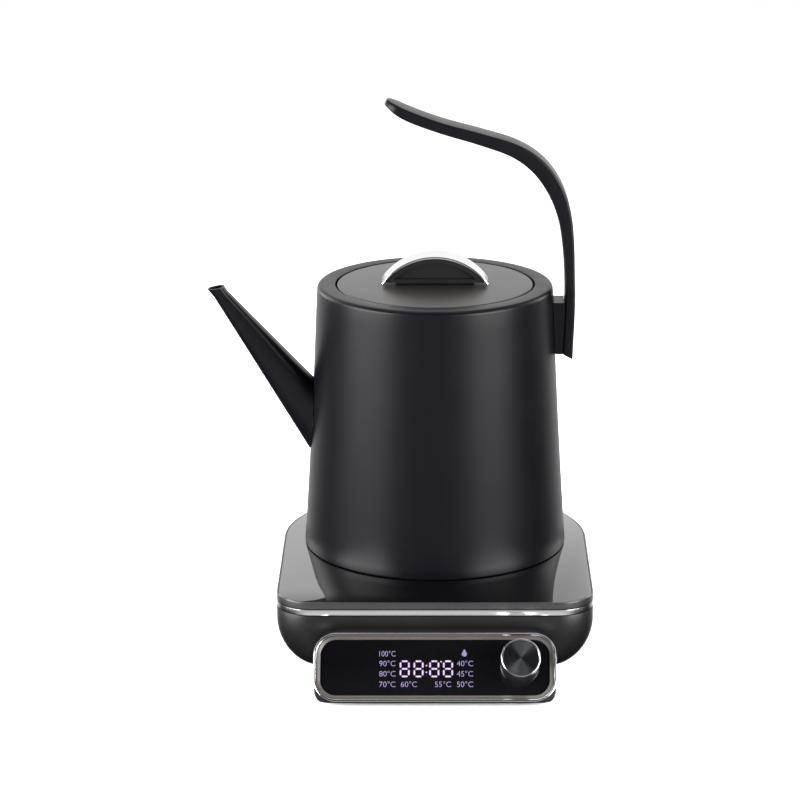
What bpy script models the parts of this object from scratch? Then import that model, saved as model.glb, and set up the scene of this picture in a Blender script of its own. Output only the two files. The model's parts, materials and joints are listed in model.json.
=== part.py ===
"""Electric kettle with a swan-neck handle, on a heating base with a tilted display and a knob.

Everything hangs on one vertical line, the kettle's axis, which stands at the empty "kettle_axis".
+X points to the handle's side, -X to the spout, -Y to the display, and +Z up. The table is z = 0.
"""

import math

import bmesh
import bpy
from mathutils import Matrix, Vector

for left_over in list(bpy.data.objects):
    bpy.data.objects.remove(left_over, do_unlink=True)

MM = 0.001
GAP = 0.3 * MM              # air between two pieces that touch
ROUND = 40                  # facets of a large round piece
SMALL_ROUND = 16            # facets of a small one
COUPLER_ROUND = 28

# Heating base: a D in plan, straight at the front and a half circle at the back
BASE_HALF_WIDTH = 85 * MM
BASE_FRONT = 108 * MM       # from the kettle's axis to the front wall
BASE_CORNER = 20 * MM       # front corners, in plan
BACK_CENTRE = 4.5 * MM      # centre of the half circle, behind the axis
FOOT_HEIGHT = 4 * MM        # how far the feet stand out of the base
BOWL_RADIUS = 30 * MM       # the side's curve into the underside
BOWL_HEIGHT = 36.5 * MM     # underside to the chrome band
BAND_HEIGHT = 3.5 * MM
GLASS_THICKNESS = 2.6 * MM
RIM_LEDGE = 0.8 * MM        # the deck's thickness under the glass's edge
RIM_HEIGHT = GLASS_THICKNESS + GAP + RIM_LEDGE
RIM_WIDTH = 0.8 * MM        # dark rim round the glass
HOUSING_WALL = 2.2 * MM
DECK_THICKNESS = 3 * MM
DECK_SHOULDER = 2.8 * MM    # how far the deck steps in, under its rim
COVER_INSET = 31 * MM       # the underside's opening, in from the outline
COVER_THICKNESS = 2 * MM
LIP_WIDTH = 6 * MM
PORT_REACH = 7 * MM         # how far the rear fittings stand out
PORT_DEPTH = 8 * MM         # how far they reach in, past the wall's outer face
PORT_FLANGE = 2 * MM
PORT_FLANGE_RADIUS = 8 * MM
INLET_BODY_RADIUS = 5 * MM
GLAND_BODY_RADIUS = 6 * MM
GLAND_FLANGE_RADIUS = 9 * MM
GLAND_BORE = 3.5 * MM       # the mains cord's radius

BOWL_TOP = FOOT_HEIGHT + BOWL_HEIGHT
BAND_TOP = BOWL_TOP + BAND_HEIGHT
RIM_TOP = BAND_TOP + GAP + RIM_HEIGHT
GLASS_TOP = RIM_TOP
GLASS_BOTTOM = GLASS_TOP - GLASS_THICKNESS
DECK_TOP = GLASS_BOTTOM - GAP
DECK_BOTTOM = DECK_TOP - DECK_THICKNESS
BOWL_START = FOOT_HEIGHT + BOWL_RADIUS
LIP_BOTTOM = FOOT_HEIGHT + COVER_THICKNESS + GAP
LIP_TOP = LIP_BOTTOM + HOUSING_WALL
BASE_BACK = BACK_CENTRE + BASE_HALF_WIDTH

# Control pod, with the display tilted back
TILT = math.radians(36)     # of the display's outward normal, above the horizontal
PANEL_HALF_WIDTH = 64 * MM
PANEL_HALF_HEIGHT = 18.7 * MM
PANEL_CORNER = 12 * MM
PANEL_Y = -129.4 * MM       # middle of the display
PANEL_Z = 20 * MM
FRAME_WIDTH = 1.4 * MM
FRAME_DEPTH = 3.3 * MM
BEZEL_WIDTH = 2.2 * MM
BEZEL_TOP = -0.4 * MM       # heights along the display's normal, from the frame's front
BEZEL_THICKNESS = 1 * MM
DISPLAY_THICKNESS = 1.6 * MM
POD_FRONT = -FRAME_DEPTH - GAP
POD_LIP = 3.2 * MM          # depth of the pod's straight edge, behind the frame
POD_LOW_CORNER = 7 * MM     # its lower corners show past the frame's rounder ones
POD_TAPER = 0.95            # its width where it meets the bowl, as a share
POD_FLOOR = 2.2 * MM        # lowest height of the pod
POD_ROOT_LOW = 28 * MM - BASE_FRONT     # y where the pod ends, inside the bowl
POD_ROOT_HIGH = 4 * MM - BASE_FRONT
POCKET_HALF_WIDTH = 57 * MM
POCKET_LOW = -8.5 * MM
POCKET_HIGH = 14 * MM
POCKET_DEPTH = 9.8 * MM
WINDOW_HALF_WIDTH = 27 * MM
WINDOW_LOW = 15 * MM
WINDOW_HIGH = 25 * MM
DIGITS_AT = (-4.6 * MM, -0.56 * MM)
DIGITS_HALF = (17 * MM, 6 * MM)
BOARD_DEPTH = 4.4 * MM      # display board, below the pod's front

# Knob, on the display's right
KNOB_X = 45 * MM
KNOB_Y = 1.7 * MM
KNOB_RADIUS = 10.3 * MM
KNOB_TOP = 13 * MM
KNOB_TRAVEL = 0.8 * MM
KNOB_WALL = 1.5 * MM
KNOB_RIM = 0.75 * MM        # bright edge round the face
FACE_THICKNESS = 0.6 * MM
BUSH_RADIUS = 4.5 * MM
BUSH_BORE = 3.5 * MM
SHAFT_RADIUS = 2.2 * MM
BUSH_RISE = 3 * MM          # how far the switch's bush stands out of the display
SWITCH_HALF = 6.5 * MM

# Kettle
BODY_HEIGHT = 148 * MM      # glass to the flat rim
BODY_FOOT_RADIUS = 73.1 * MM
BODY_SLOPE = 0.0702         # how fast the radius shrinks with height at the foot
BODY_FLARE = 0.1045         # how the slope eases with height, per metre
BODY_WALL = 1 * MM
SHOULDER = 2.5 * MM
RIM_FLAT = 10 * MM          # width of the flat rim round the lid
LEDGE_DEPTH = 3.5 * MM
LEDGE_WIDTH = 3.5 * MM
PLATE_HEIGHT = 16 * MM      # bottom plate above the glass
PLATE_THICKNESS = 1.2 * MM
PLATE_RIM = 3 * MM
FOOT_CLEARANCE = 0.4 * MM   # body edge above the glass
BASE_CAP_THICKNESS = 2.5 * MM

# Lid
LID_GAP = 0.6 * MM
LID_THICKNESS = 1.5 * MM
LID_SKIRT_INSET = 5.4 * MM  # the skirt, in from the mouth
LID_SKIRT_DEPTH = 12 * MM
GRIP_HALF_LENGTH = 29.1 * MM
GRIP_RISE = 15 * MM
GRIP_TOP = 16.7 * MM        # above the lid
GRIP_HALF_WIDTH = 8.5 * MM
GRIP_STRIP = 1.1 * MM
GRIP_RIM = 2.2 * MM
GRIP_RECESS = 2.4 * MM
PLINTH_HALF_LENGTH = 22 * MM
PLINTH_HALF_WIDTH = 6.5 * MM
PLINTH_HEIGHT = 3 * MM
GRIP_SCREW_X = 12 * MM

# Spout: how far out past the foot, and how far under the rim, its lower and upper edges run
SPOUT_ROOT_LOW = (-13.1 * MM, 111.2 * MM)
SPOUT_ROOT_HIGH = (-13.1 * MM, 62.7 * MM)
SPOUT_NECK_LOW = (48.8 * MM, 7.6 * MM)
SPOUT_NECK_HIGH = (41.5 * MM, 4.5 * MM)
SPOUT_TIP_LOW = (52.3 * MM, 3.3 * MM)
SPOUT_TIP_HIGH = (43.2 * MM, 1.7 * MM)
SPOUT_ROOT_HALF_WIDTH = 15 * MM
SPOUT_TIP_HALF_WIDTH = 4.6 * MM
SPOUT_WALL = 1.1 * MM
SPOUT_HOLE_DROP = 76 * MM   # middle of the hole in the body, under the rim
SPOUT_HOLE_RADIUS = 12 * MM
STRAINER_THICKNESS = 0.8 * MM
STRAINER_HOLE = 1.1 * MM

# Handle: its middle line from the free tip down to the lower end, in mm:
# (how far in from the handle's outermost line, height over the rim, half thickness)
HANDLE_STANDOFF = 1.1 * MM  # the outermost line, out from the body's foot
HANDLE_LINE = (
    (100.8, 101.5, 1.9),
    (89.2, 94.9, 2.9),
    (71, 88.1, 3),
    (49.4, 81.9, 3.3),
    (30.8, 75.5, 3.8),
    (18, 66.6, 4.3),
    (9.1, 54.5, 4.4),
    (3.8, 40.4, 3.9),
    (1.4, 25, 3.3),
    (0.3, 7, 2.8),
    (0, -13, 2.8),
    (1.1, -40, 2.9),
)
HANDLE_HALF_WIDTH = 9.2 * MM
HANDLE_TIP_LENGTH = 9 * MM
HANDLE_EDGE = 1.3 * MM
HANDLE_SLANT = 0.5          # of the lower end's cut
BRACKET_LOW = 38.4 * MM     # under the rim
BRACKET_HIGH = 9.2 * MM
BRACKET_DEPTH = 14.4 * MM
BRACKET_HALF_WIDTH = 9 * MM
HANDLE_SCREW_DROPS = (31 * MM, 17 * MM)
SCREW_HEAD_RADIUS = 3.2 * MM
SCREW_HEAD_HEIGHT = 1.8 * MM
SCREW_SHANK_RADIUS = 1.6 * MM
SCREW_SINK = 0.6 * MM       # the heads' seat, out from the handle's outermost line

# Coupler and water inlet, all on the kettle's axis
COUPLER_RADIUS = 21 * MM
COUPLER_RISE = 8 * MM       # above the glass
COUPLER_BORE = 7.4 * MM
COUPLER_FLANGE = 7 * MM
COUPLER_DEPTH = 11 * MM     # under the deck
GROOVE_WALL = 2.8 * MM      # the coupler's wall outside its groove
GROOVE_WIDTH = 5.9 * MM
GROOVE_DEPTH = 6 * MM
SOCKET_WALL = 2.6 * MM
SOCKET_CLEARANCE = 0.4 * MM
SLEEVE_RISE = 2 * MM        # above the coupler
RISER_BOTTOM = 25 * MM
RISER_RADIUS = 4.2 * MM
RISER_BORE = 1.9 * MM
SLEEVE_RADIUS = 7 * MM
SEAL_RADIUS = 8.8 * MM
SEAL_THICKNESS = 2.5 * MM
FITTING_RADIUS = 8 * MM
FITTING_BORE = 4.6 * MM
CHAMBER_RADIUS = 6.9 * MM
CHAMBER_HEIGHT = 6.5 * MM
CHAMBER_WALL = 1.7 * MM
VALVE_TRAVEL = 3 * MM
VALVE_DISC = 1.7 * MM
VALVE_STEM = 1.6 * MM
SPRING_RADIUS = 4.2 * MM
SPRING_WIRE = 0.35 * MM

# Heater and sensors under the bottom plate
ELEMENT_RADIUS = 46 * MM
ELEMENT_TUBE = 3.6 * MM
SENSOR_AT = (32 * MM, 12 * MM)
SENSOR_RADIUS = 3 * MM

# Pump and boards inside the base, measured from the kettle's axis
PUMP_AT = (-34 * MM, 30 * MM)
PUMP_MOTOR_RADIUS = 13 * MM
PUMP_MOTOR_HEIGHT = 17 * MM
VOLUTE_RADIUS = 16 * MM
VOLUTE_HEIGHT = 11 * MM
VOLUTE_WALL = 2 * MM
IMPELLER_RADIUS = 11.5 * MM
HOSE_RADIUS = 3 * MM
BOARD_THICKNESS = 1.6 * MM
POWER_BOARD_AT = (30 * MM, 24 * MM)
POWER_BOARD_HALF = (24 * MM, 17 * MM)
INLET_X = -34 * MM
CORD_PORT_X = 30 * MM
PORT_HEIGHT = 22 * MM

# Feet and screws under the base
FOOT_RADIUS = 8 * MM
FOOT_MARGIN = 2.5 * MM      # from a foot to the cover's edge
BOSS_RADIUS = 4 * MM
BOSS_MARGIN = 2.5 * MM      # from a boss to the lip
BOSS_STEP = 18 * MM         # from a front foot in to the nearest boss
BASE_SCREW_LENGTH = 14 * MM

COVER_HALF_WIDTH = BASE_HALF_WIDTH - COVER_INSET
FOOT_X = COVER_HALF_WIDTH - FOOT_RADIUS - FOOT_MARGIN
FOOT_Y = COVER_INSET + FOOT_RADIUS + FOOT_MARGIN - BASE_FRONT
FOOT_BACK = FOOT_X * math.sqrt(0.5)
BOSS_X = COVER_HALF_WIDTH - LIP_WIDTH - BOSS_RADIUS - BOSS_MARGIN
BOSS_Y = COVER_INSET + LIP_WIDTH + BOSS_RADIUS + BOSS_MARGIN - BASE_FRONT
FOOT_AT = (
    (-FOOT_X, FOOT_Y),
    (FOOT_X, FOOT_Y),
    (-FOOT_BACK, BACK_CENTRE + FOOT_BACK),
    (FOOT_BACK, BACK_CENTRE + FOOT_BACK),
)
BOSS_AT = ((BOSS_STEP - FOOT_X, BOSS_Y), (FOOT_X - BOSS_STEP, BOSS_Y), (-BOSS_X, 0), (BOSS_X, 0))

# Levels along the coupler and the water way
COUPLER_TOP = GLASS_TOP + COUPLER_RISE
COUPLER_BOTTOM = DECK_BOTTOM - COUPLER_DEPTH
SLEEVE_TOP = COUPLER_TOP + SLEEVE_RISE
SEAL_TOP = SLEEVE_TOP + SEAL_THICKNESS
FITTING_BOTTOM = SEAL_TOP + GAP
PLATE_BOTTOM = GLASS_TOP + PLATE_HEIGHT
PLATE_TOP = PLATE_BOTTOM + PLATE_THICKNESS
VALVE_SEAT = PLATE_TOP + GAP + 2 * MM
CAGE_BOTTOM = VALVE_SEAT + CHAMBER_HEIGHT + GAP
VOLUTE_BOTTOM = LIP_TOP + 1 * MM
VOLUTE_TOP = VOLUTE_BOTTOM + VOLUTE_HEIGHT
GROOVE_OUTER = COUPLER_RADIUS - GROOVE_WALL
GROOVE_INNER = GROOVE_OUTER - GROOVE_WIDTH

# Levels along the display's normal, from its frame's front
BEZEL_INSET = FRAME_WIDTH + GAP
BEZEL_BOTTOM = BEZEL_TOP - BEZEL_THICKNESS
DISPLAY_TOP = BEZEL_BOTTOM - GAP
BUSH_TOP = DISPLAY_TOP + BUSH_RISE
BOARD_TOP = POD_FRONT - BOARD_DEPTH

# Heights above the glass, and reaches from the axis
LID_TOP = BODY_HEIGHT
LID_SEAT = BODY_HEIGHT - LEDGE_DEPTH + GAP
RIM_RADIUS = BODY_FOOT_RADIUS - BODY_SLOPE * BODY_HEIGHT + BODY_FLARE * BODY_HEIGHT**2
MOUTH_RADIUS = RIM_RADIUS - RIM_FLAT
LID_SKIRT_RADIUS = MOUTH_RADIUS - LID_SKIRT_INSET
SPOUT_HOLE_HEIGHT = BODY_HEIGHT - SPOUT_HOLE_DROP
HANDLE_REACH = BODY_FOOT_RADIUS + HANDLE_STANDOFF
SCREW_SEAT = HANDLE_REACH + SCREW_SINK
WALL_HEIGHTS = [BODY_HEIGHT * t for t in (0.8, 0.5, 0.22)]


# ---------------------------------------------------------------- materials

def material(name, colour, roughness, metallic=0.0):
    made = bpy.data.materials.new(name)
    made.use_nodes = True
    shader = made.node_tree.nodes["Principled BSDF"]
    shader.inputs["Base Color"].default_value = (*colour, 1)
    shader.inputs["Roughness"].default_value = roughness
    shader.inputs["Metallic"].default_value = metallic
    return made


BLACK_COAT = material("black_coat", (0.018, 0.018, 0.019), 0.42)
LID_COAT = material("lid_coat", (0.05, 0.046, 0.044), 0.45)
BLACK_PLASTIC = material("black_plastic", (0.02, 0.02, 0.021), 0.5)
RIM_COAT = material("rim_coat", (0.03, 0.03, 0.031), 0.4)
GREY_PLASTIC = material("grey_plastic", (0.22, 0.22, 0.23), 0.55)
WHITE_PLASTIC = material("white_plastic", (0.75, 0.75, 0.73), 0.5)
BLACK_GLASS = material("black_glass", (0.004, 0.004, 0.005), 0.04)
CHROME = material("chrome", (0.8, 0.8, 0.81), 0.08, 1.0)
STEEL = material("steel", (0.58, 0.57, 0.55), 0.3, 1.0)
DARK_STEEL = material("dark_steel", (0.05, 0.052, 0.056), 0.3, 0.9)
BEZEL = material("bezel", (0.052, 0.045, 0.04), 0.4)
SILICONE = material("silicone", (0.55, 0.54, 0.52), 0.6)
RUBBER = material("rubber", (0.03, 0.03, 0.03), 0.8)
CIRCUIT_BOARD = material("circuit_board", (0.02, 0.16, 0.06), 0.5)


# ---------------------------------------------------------------- scene helpers

def collection(name):
    made = bpy.data.collections.new(name)
    bpy.context.scene.collection.children.link(made)
    return made


PARTS = collection("electric_kettle")
CUTTERS = collection("cutters")


def add(name, mesh, finish, parent, at=(0, 0, 0), turn=(0, 0, 0)):
    made = bpy.data.objects.new(name, mesh)
    PARTS.objects.link(made)
    made.parent = parent
    made.location = at
    made.rotation_euler = turn
    if finish:
        mesh.materials.append(finish)
    return made


def helper(made):
    """Takes an object out of the model, for use as a cutter or as a shape to join."""
    PARTS.objects.unlink(made)
    CUTTERS.objects.link(made)
    made.hide_render = True
    made.display_type = "WIRE"
    return made


def boolean(made, other, operation):
    modifier = made.modifiers.new(operation.lower(), "BOOLEAN")
    modifier.operation = operation
    modifier.object = helper(other) if other.name in PARTS.objects else other
    modifier.solver = "EXACT"
    return made


def cut(made, *cutters):
    for cutter in cutters:
        boolean(made, cutter, "DIFFERENCE")
    return made


def join(made, *others):
    for other in others:
        boolean(made, other, "UNION")
    return made


def empty(name, at=(0, 0, 0), turn=(0, 0, 0), parent=None):
    made = bpy.data.objects.new(name, None)
    PARTS.objects.link(made)
    made.empty_display_size = 0.01
    made.parent = parent
    made.location = at
    made.rotation_euler = turn
    return made


def smooth(mesh, angle=35):
    mesh.shade_smooth()
    mesh.set_sharp_from_angle(angle=math.radians(angle))
    return mesh


# ---------------------------------------------------------------- shape helpers

def turned(name, profile, finish, parent, steps=ROUND, **place):
    """A turned piece from (radius, z) points that run down the outside; a profile off the axis is a ring."""
    ring = profile[0][0] > 0
    count = len(profile)
    edges = [(i, (i + 1) % count) for i in range(count if ring else count - 1)]
    mesh = bpy.data.meshes.new(name)
    mesh.from_pydata([(r, 0, z) for r, z in profile], edges, [])
    made = add(name, mesh, finish, parent, **place)
    screw = made.modifiers.new("turn", "SCREW")
    screw.steps = steps
    screw.render_steps = steps
    screw.use_merge_vertices = True
    screw.merge_threshold = 0.02 * MM
    screw.use_smooth_shade = False
    return made


def ring_profile(inner, outer, low, high):
    return [(outer, high), (outer, low), (inner, low), (inner, high)]


def disc_profile(radius, low, high):
    return [(0, high), (radius, high), (radius, low), (0, low)]


def loft(name, rings, finish, parent, wrap=False, **place):
    """Skins rings of equal length in order; wrap joins the last to the first instead of capping both."""
    shape = bmesh.new()
    rows = [[shape.verts.new(point) for point in ring] for ring in rings]
    pairs = list(zip(rows, rows[1:]))
    if wrap:
        pairs.append((rows[-1], rows[0]))
    count = len(rows[0])
    for row, after in pairs:
        for i in range(count):
            j = (i + 1) % count
            shape.faces.new((row[i], row[j], after[j], after[i]))
    if not wrap:
        shape.faces.new(rows[0])
        shape.faces.new(rows[-1])
    bmesh.ops.recalc_face_normals(shape, faces=shape.faces)
    mesh = bpy.data.meshes.new(name)
    shape.to_mesh(mesh)
    shape.free()
    return add(name, smooth(mesh), finish, parent, **place)


def plate(name, outline, low, high, finish, parent, holes=(), **place):
    """A flat piece from a 2D outline and its holes, between two heights."""
    curve = bpy.data.curves.new(name, "CURVE")
    curve.dimensions = "2D"
    curve.fill_mode = "BOTH"
    curve.extrude = (high - low) / 2
    for loop in (outline, *holes):
        spline = curve.splines.new("POLY")
        spline.points.add(len(loop) - 1)
        spline.use_cyclic_u = True
        for point, (x, y) in zip(spline.points, loop):
            point.co = (x, y, 0, 1)
    mesh = mesh_of(curve, name)
    mesh.transform(Matrix.Translation((0, 0, (high + low) / 2)))
    return add(name, mesh, finish, parent, **place)


def tube(name, points, radius, finish, parent, resolution=2, closed=False, **place):
    curve = bpy.data.curves.new(name, "CURVE")
    curve.dimensions = "3D"
    curve.bevel_depth = radius
    curve.bevel_resolution = resolution
    curve.use_fill_caps = True
    spline = curve.splines.new("POLY")
    spline.points.add(len(points) - 1)
    spline.use_cyclic_u = closed
    for point, place_at in zip(spline.points, points):
        point.co = (*place_at, 1)
    return add(name, mesh_of(curve, name), finish, parent, **place)


def mesh_of(curve, name):
    """The mesh of a curve, with its loose caps welded on."""
    source = bpy.data.objects.new(name + "_curve", curve)
    CUTTERS.objects.link(source)
    bpy.context.view_layer.update()
    graph = bpy.context.evaluated_depsgraph_get()
    mesh = bpy.data.meshes.new_from_object(source.evaluated_get(graph))
    bpy.data.objects.remove(source, do_unlink=True)
    shape = bmesh.new()
    shape.from_mesh(mesh)
    bmesh.ops.remove_doubles(shape, verts=shape.verts, dist=0.001 * MM)
    bmesh.ops.recalc_face_normals(shape, faces=shape.faces)
    shape.to_mesh(mesh)
    shape.free()
    return mesh


def cylinder(name, radius, low, high, finish, parent, steps=SMALL_ROUND, **place):
    shape = bmesh.new()
    bmesh.ops.create_cone(
        shape,
        cap_ends=True,
        segments=steps,
        radius1=radius,
        radius2=radius,
        depth=high - low,
        matrix=Matrix.Translation((0, 0, (high + low) / 2)),
    )
    mesh = bpy.data.meshes.new(name)
    shape.to_mesh(mesh)
    shape.free()
    return add(name, smooth(mesh), finish, parent, **place)


def box(name, low, high, finish, parent, edge=0.0, **place):
    size = [b - a for a, b in zip(low, high)]
    middle = [(a + b) / 2 for a, b in zip(low, high)]
    shape = bmesh.new()
    bmesh.ops.create_cube(shape, matrix=Matrix.Translation(middle) @ Matrix.Diagonal((*size, 1)))
    mesh = bpy.data.meshes.new(name)
    shape.to_mesh(mesh)
    shape.free()
    made = add(name, mesh, finish, parent, **place)
    if edge:
        bevel = made.modifiers.new("edge", "BEVEL")
        bevel.width = edge
        bevel.segments = 2
    return made


def arc(centre, radius, start, end, steps):
    """Points on an arc, in degrees, both ends included."""
    angles = [math.radians(start + (end - start) * i / steps) for i in range(steps + 1)]
    return [(centre[0] + radius * math.cos(a), centre[1] + radius * math.sin(a)) for a in angles]


def rounded_rectangle(half_width, low, high, corner, steps=5, low_corner=None):
    """Its lower corners may have a radius of their own."""
    low_corner = low_corner or corner
    x = half_width - corner
    low_x = half_width - low_corner
    points = arc((x, high - corner), corner, 0, 90, steps)
    points += arc((-x, high - corner), corner, 90, 180, steps)
    points += arc((-low_x, low + low_corner), low_corner, 180, 270, steps)
    points += arc((low_x, low + low_corner), low_corner, 270, 360, steps)
    return points


def base_outline(inset, corner_steps=4, back_steps=20):
    """The base's plan, drawn in by an inset: front corners, then the half circle behind."""
    half = BASE_HALF_WIDTH - inset
    corner = max(BASE_CORNER - inset, 1 * MM)
    x = half - corner
    y = -(BASE_FRONT - inset - corner)
    left = arc((-x, y), corner, 180, 270, corner_steps)
    right = arc((x, y), corner, 270, 360, corner_steps)
    back = arc((0, BACK_CENTRE), half, 0, 180, back_steps)
    return left + right + back


def base_ring(inset, z):
    return [(x, y, z) for x, y in base_outline(inset)]


def bowl_inset(z, wall=0.0):
    """How far the bowl's side has curved in at height z; a wall gives its inner face."""
    drop = max(BOWL_START - z, 0)
    radius = BOWL_RADIUS - wall
    return BOWL_RADIUS - math.sqrt(max(radius * radius - drop * drop, 0))


def body_radius(height):
    """Outer radius of the kettle at a height above the glass."""
    return BODY_FOOT_RADIUS - BODY_SLOPE * height + BODY_FLARE * height * height


def panel_point(x, y, normal):
    """A point of the display's own frame, in the kettle axis's frame."""
    return (
        x,
        PANEL_Y + y * math.sin(TILT) - normal * math.cos(TILT),
        PANEL_Z + y * math.cos(TILT) + normal * math.sin(TILT),
    )


def curve_through(points, steps):
    """A smooth open curve through points, as (point, tangent) pairs, by Catmull and Rom's rule."""
    ends = [2 * points[0] - points[1], *points, 2 * points[-1] - points[-2]]
    stations = []
    for i in range(1, len(ends) - 2):
        p0, p1, p2, p3 = ends[i - 1 : i + 3]
        last = i == len(ends) - 3
        for k in range(steps + last):
            t = k / steps
            place = 0.5 * (
                2 * p1
                + (p2 - p0) * t
                + (2 * p0 - 5 * p1 + 4 * p2 - p3) * t * t
                + (3 * p1 - p0 - 3 * p2 + p3) * t * t * t
            )
            slope = 0.5 * (
                (p2 - p0)
                + 2 * (2 * p0 - 5 * p1 + 4 * p2 - p3) * t
                + 3 * (3 * p1 - p0 - 3 * p2 + p3) * t * t
            )
            stations.append((place, slope.normalized()))
    return stations


# ---------------------------------------------------------------- datums

KNOB_FRONT = -(
    PANEL_Y
    + (KNOB_Y - KNOB_RADIUS) * math.sin(TILT)
    - KNOB_TOP * math.cos(TILT)
)
HANDLE_BACK = HANDLE_REACH + HANDLE_LINE[-2][2] * MM
AXIS_X = (BODY_FOOT_RADIUS + SPOUT_TIP_LOW[0] - max(BASE_HALF_WIDTH, HANDLE_BACK)) / 2
AXIS_Y = (KNOB_FRONT - BASE_BACK - PORT_REACH) / 2

axis = empty("kettle_axis", (AXIS_X, AXIS_Y, 0))
kettle = empty("kettle_on_glass", (0, 0, GLASS_TOP), parent=axis)
panel = empty("display_frame", panel_point(0, 0, 0), (math.pi / 2 - TILT, 0, 0), axis)
knob_axis = empty("knob_axis", (KNOB_X, KNOB_Y, 0), parent=panel)
pump_axis = empty("pump_axis", (*PUMP_AT, 0), parent=axis)


# ---------------------------------------------------------------- heating base

def bowl_solid(name, growth):
    """The housing's outer shape as one solid, grown by a clearance."""
    heights = [FOOT_HEIGHT + BOWL_RADIUS * t for t in (0, 0.03, 0.1, 0.25, 0.45, 0.7, 1)]
    rings = [base_ring(bowl_inset(z) - growth, z) for z in heights]
    rings.append(base_ring(-growth, BOWL_TOP))
    return helper(loft(name, rings, None, axis))


def base_housing():
    outer = [FOOT_HEIGHT + BOWL_RADIUS * t for t in (1, 0.7, 0.45, 0.25, 0.1, 0.03)]
    inner = [FOOT_HEIGHT + BOWL_RADIUS * t for t in (0.25, 0.45, 0.7, 1)]
    rings = [base_ring(0, BOWL_TOP)]
    rings += [base_ring(bowl_inset(z), z) for z in outer]
    rings += [base_ring(inset, z) for inset, z in (
        (COVER_INSET - 1 * MM, FOOT_HEIGHT),
        (COVER_INSET, FOOT_HEIGHT),
        (COVER_INSET, LIP_BOTTOM),
        (COVER_INSET + LIP_WIDTH, LIP_BOTTOM),
        (COVER_INSET + LIP_WIDTH, LIP_TOP),
        (bowl_inset(LIP_TOP, HOUSING_WALL), LIP_TOP),
    )]
    rings += [base_ring(bowl_inset(z, HOUSING_WALL), z) for z in inner]
    rings.append(base_ring(HOUSING_WALL, BOWL_TOP))
    housing = loft("base_housing", rings, BLACK_PLASTIC, axis, wrap=True)
    window = box(
        "housing_window",
        (-WINDOW_HALF_WIDTH, -BASE_FRONT - 5 * MM, WINDOW_LOW),
        (WINDOW_HALF_WIDTH, -BASE_FRONT + 14 * MM, WINDOW_HIGH),
        None,
        axis,
    )
    ports = [
        port_hole("inlet_hole", INLET_X, INLET_BODY_RADIUS + GAP),
        port_hole("cord_hole", CORD_PORT_X, GLAND_BODY_RADIUS + GAP),
    ]
    return cut(housing, window, *ports)


PORT_OUT = (math.pi / 2, 0, math.pi)    # turns a piece's +Z out through the rear wall


def wall_y(x):
    """The rear wall's outer face at x."""
    return BACK_CENTRE + math.sqrt(BASE_HALF_WIDTH**2 - x * x)


def port_hole(name, x, radius):
    y = wall_y(x)
    reach = 2 * PORT_REACH
    return cylinder(name, radius, -reach, reach, None, axis, at=(x, y, PORT_HEIGHT), turn=PORT_OUT)


def rear_port(name, x, body, flange, bore, finish):
    """A fitting through the rear wall, turned about Y, its flange outside; z runs outwards."""
    seat = base_flange_seat(x, flange)
    reach = BASE_BACK + PORT_REACH
    top = reach - seat
    profile = [
        (body * 0.8, top),
        (body, top - 1 * MM),
        (body, PORT_FLANGE),
        (flange, PORT_FLANGE),
        (flange, 0),
        (body, 0),
        (body, seat_depth(x, seat)),
        (bore, seat_depth(x, seat)),
        (bore, top),
    ]
    return turned(name, profile, finish, axis, SMALL_ROUND, at=(x, seat, PORT_HEIGHT), turn=PORT_OUT)


def base_flange_seat(x, flange):
    """Where a flat flange clears the curved rear wall."""
    nearest = max(abs(x) - flange, 0)
    return wall_y(nearest) + GAP


def seat_depth(x, seat):
    """Depth of a fitting's inner end, past the wall."""
    return wall_y(abs(x)) - seat - PORT_DEPTH


def bottom_cover():
    cover = plate(
        "bottom_cover",
        base_outline(COVER_INSET + GAP),
        FOOT_HEIGHT,
        FOOT_HEIGHT + COVER_THICKNESS,
        BLACK_PLASTIC,
        axis,
    )
    for i, (x, y) in enumerate(FOOT_AT):
        recess = cylinder(
            f"foot_recess_{i + 1}",
            FOOT_RADIUS + GAP,
            0,
            FOOT_HEIGHT + COVER_THICKNESS / 2,
            None,
            axis,
            at=(x, y, 0),
        )
        cut(cover, recess)
    for i, (x, y) in enumerate(BOSS_AT):
        name = f"cover_hole_{i + 1}"
        radius = SCREW_SHANK_RADIUS + GAP
        cut(cover, cylinder(name, radius, 0, BOWL_START, None, axis, 8, at=(x, y, 0)))
    return cover


def feet():
    for i, (x, y) in enumerate(FOOT_AT):
        top = FOOT_HEIGHT + COVER_THICKNESS / 2 - GAP
        profile = [
            (0, top),
            (FOOT_RADIUS, top),
            (FOOT_RADIUS, 1 * MM),
            (FOOT_RADIUS - 1 * MM, 0),
            (0, 0),
        ]
        turned(f"rubber_foot_{i + 1}", profile, RUBBER, axis, SMALL_ROUND, at=(x, y, 0))


def screw_profile(length):
    """A pan-head screw that points up, its head's seat at z = 0."""
    return [
        (0, length),
        (SCREW_SHANK_RADIUS, length),
        (SCREW_SHANK_RADIUS, 0),
        (SCREW_HEAD_RADIUS, 0),
        (SCREW_HEAD_RADIUS, -SCREW_HEAD_HEIGHT * 0.6),
        (SCREW_HEAD_RADIUS * 0.7, -SCREW_HEAD_HEIGHT),
        (0, -SCREW_HEAD_HEIGHT),
    ]


def base_screws():
    for i, (x, y) in enumerate(BOSS_AT):
        turned(
            f"base_screw_{i + 1}",
            screw_profile(BASE_SCREW_LENGTH),
            STEEL,
            axis,
            12,
            at=(x, y, FOOT_HEIGHT - GAP),
        )


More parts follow.
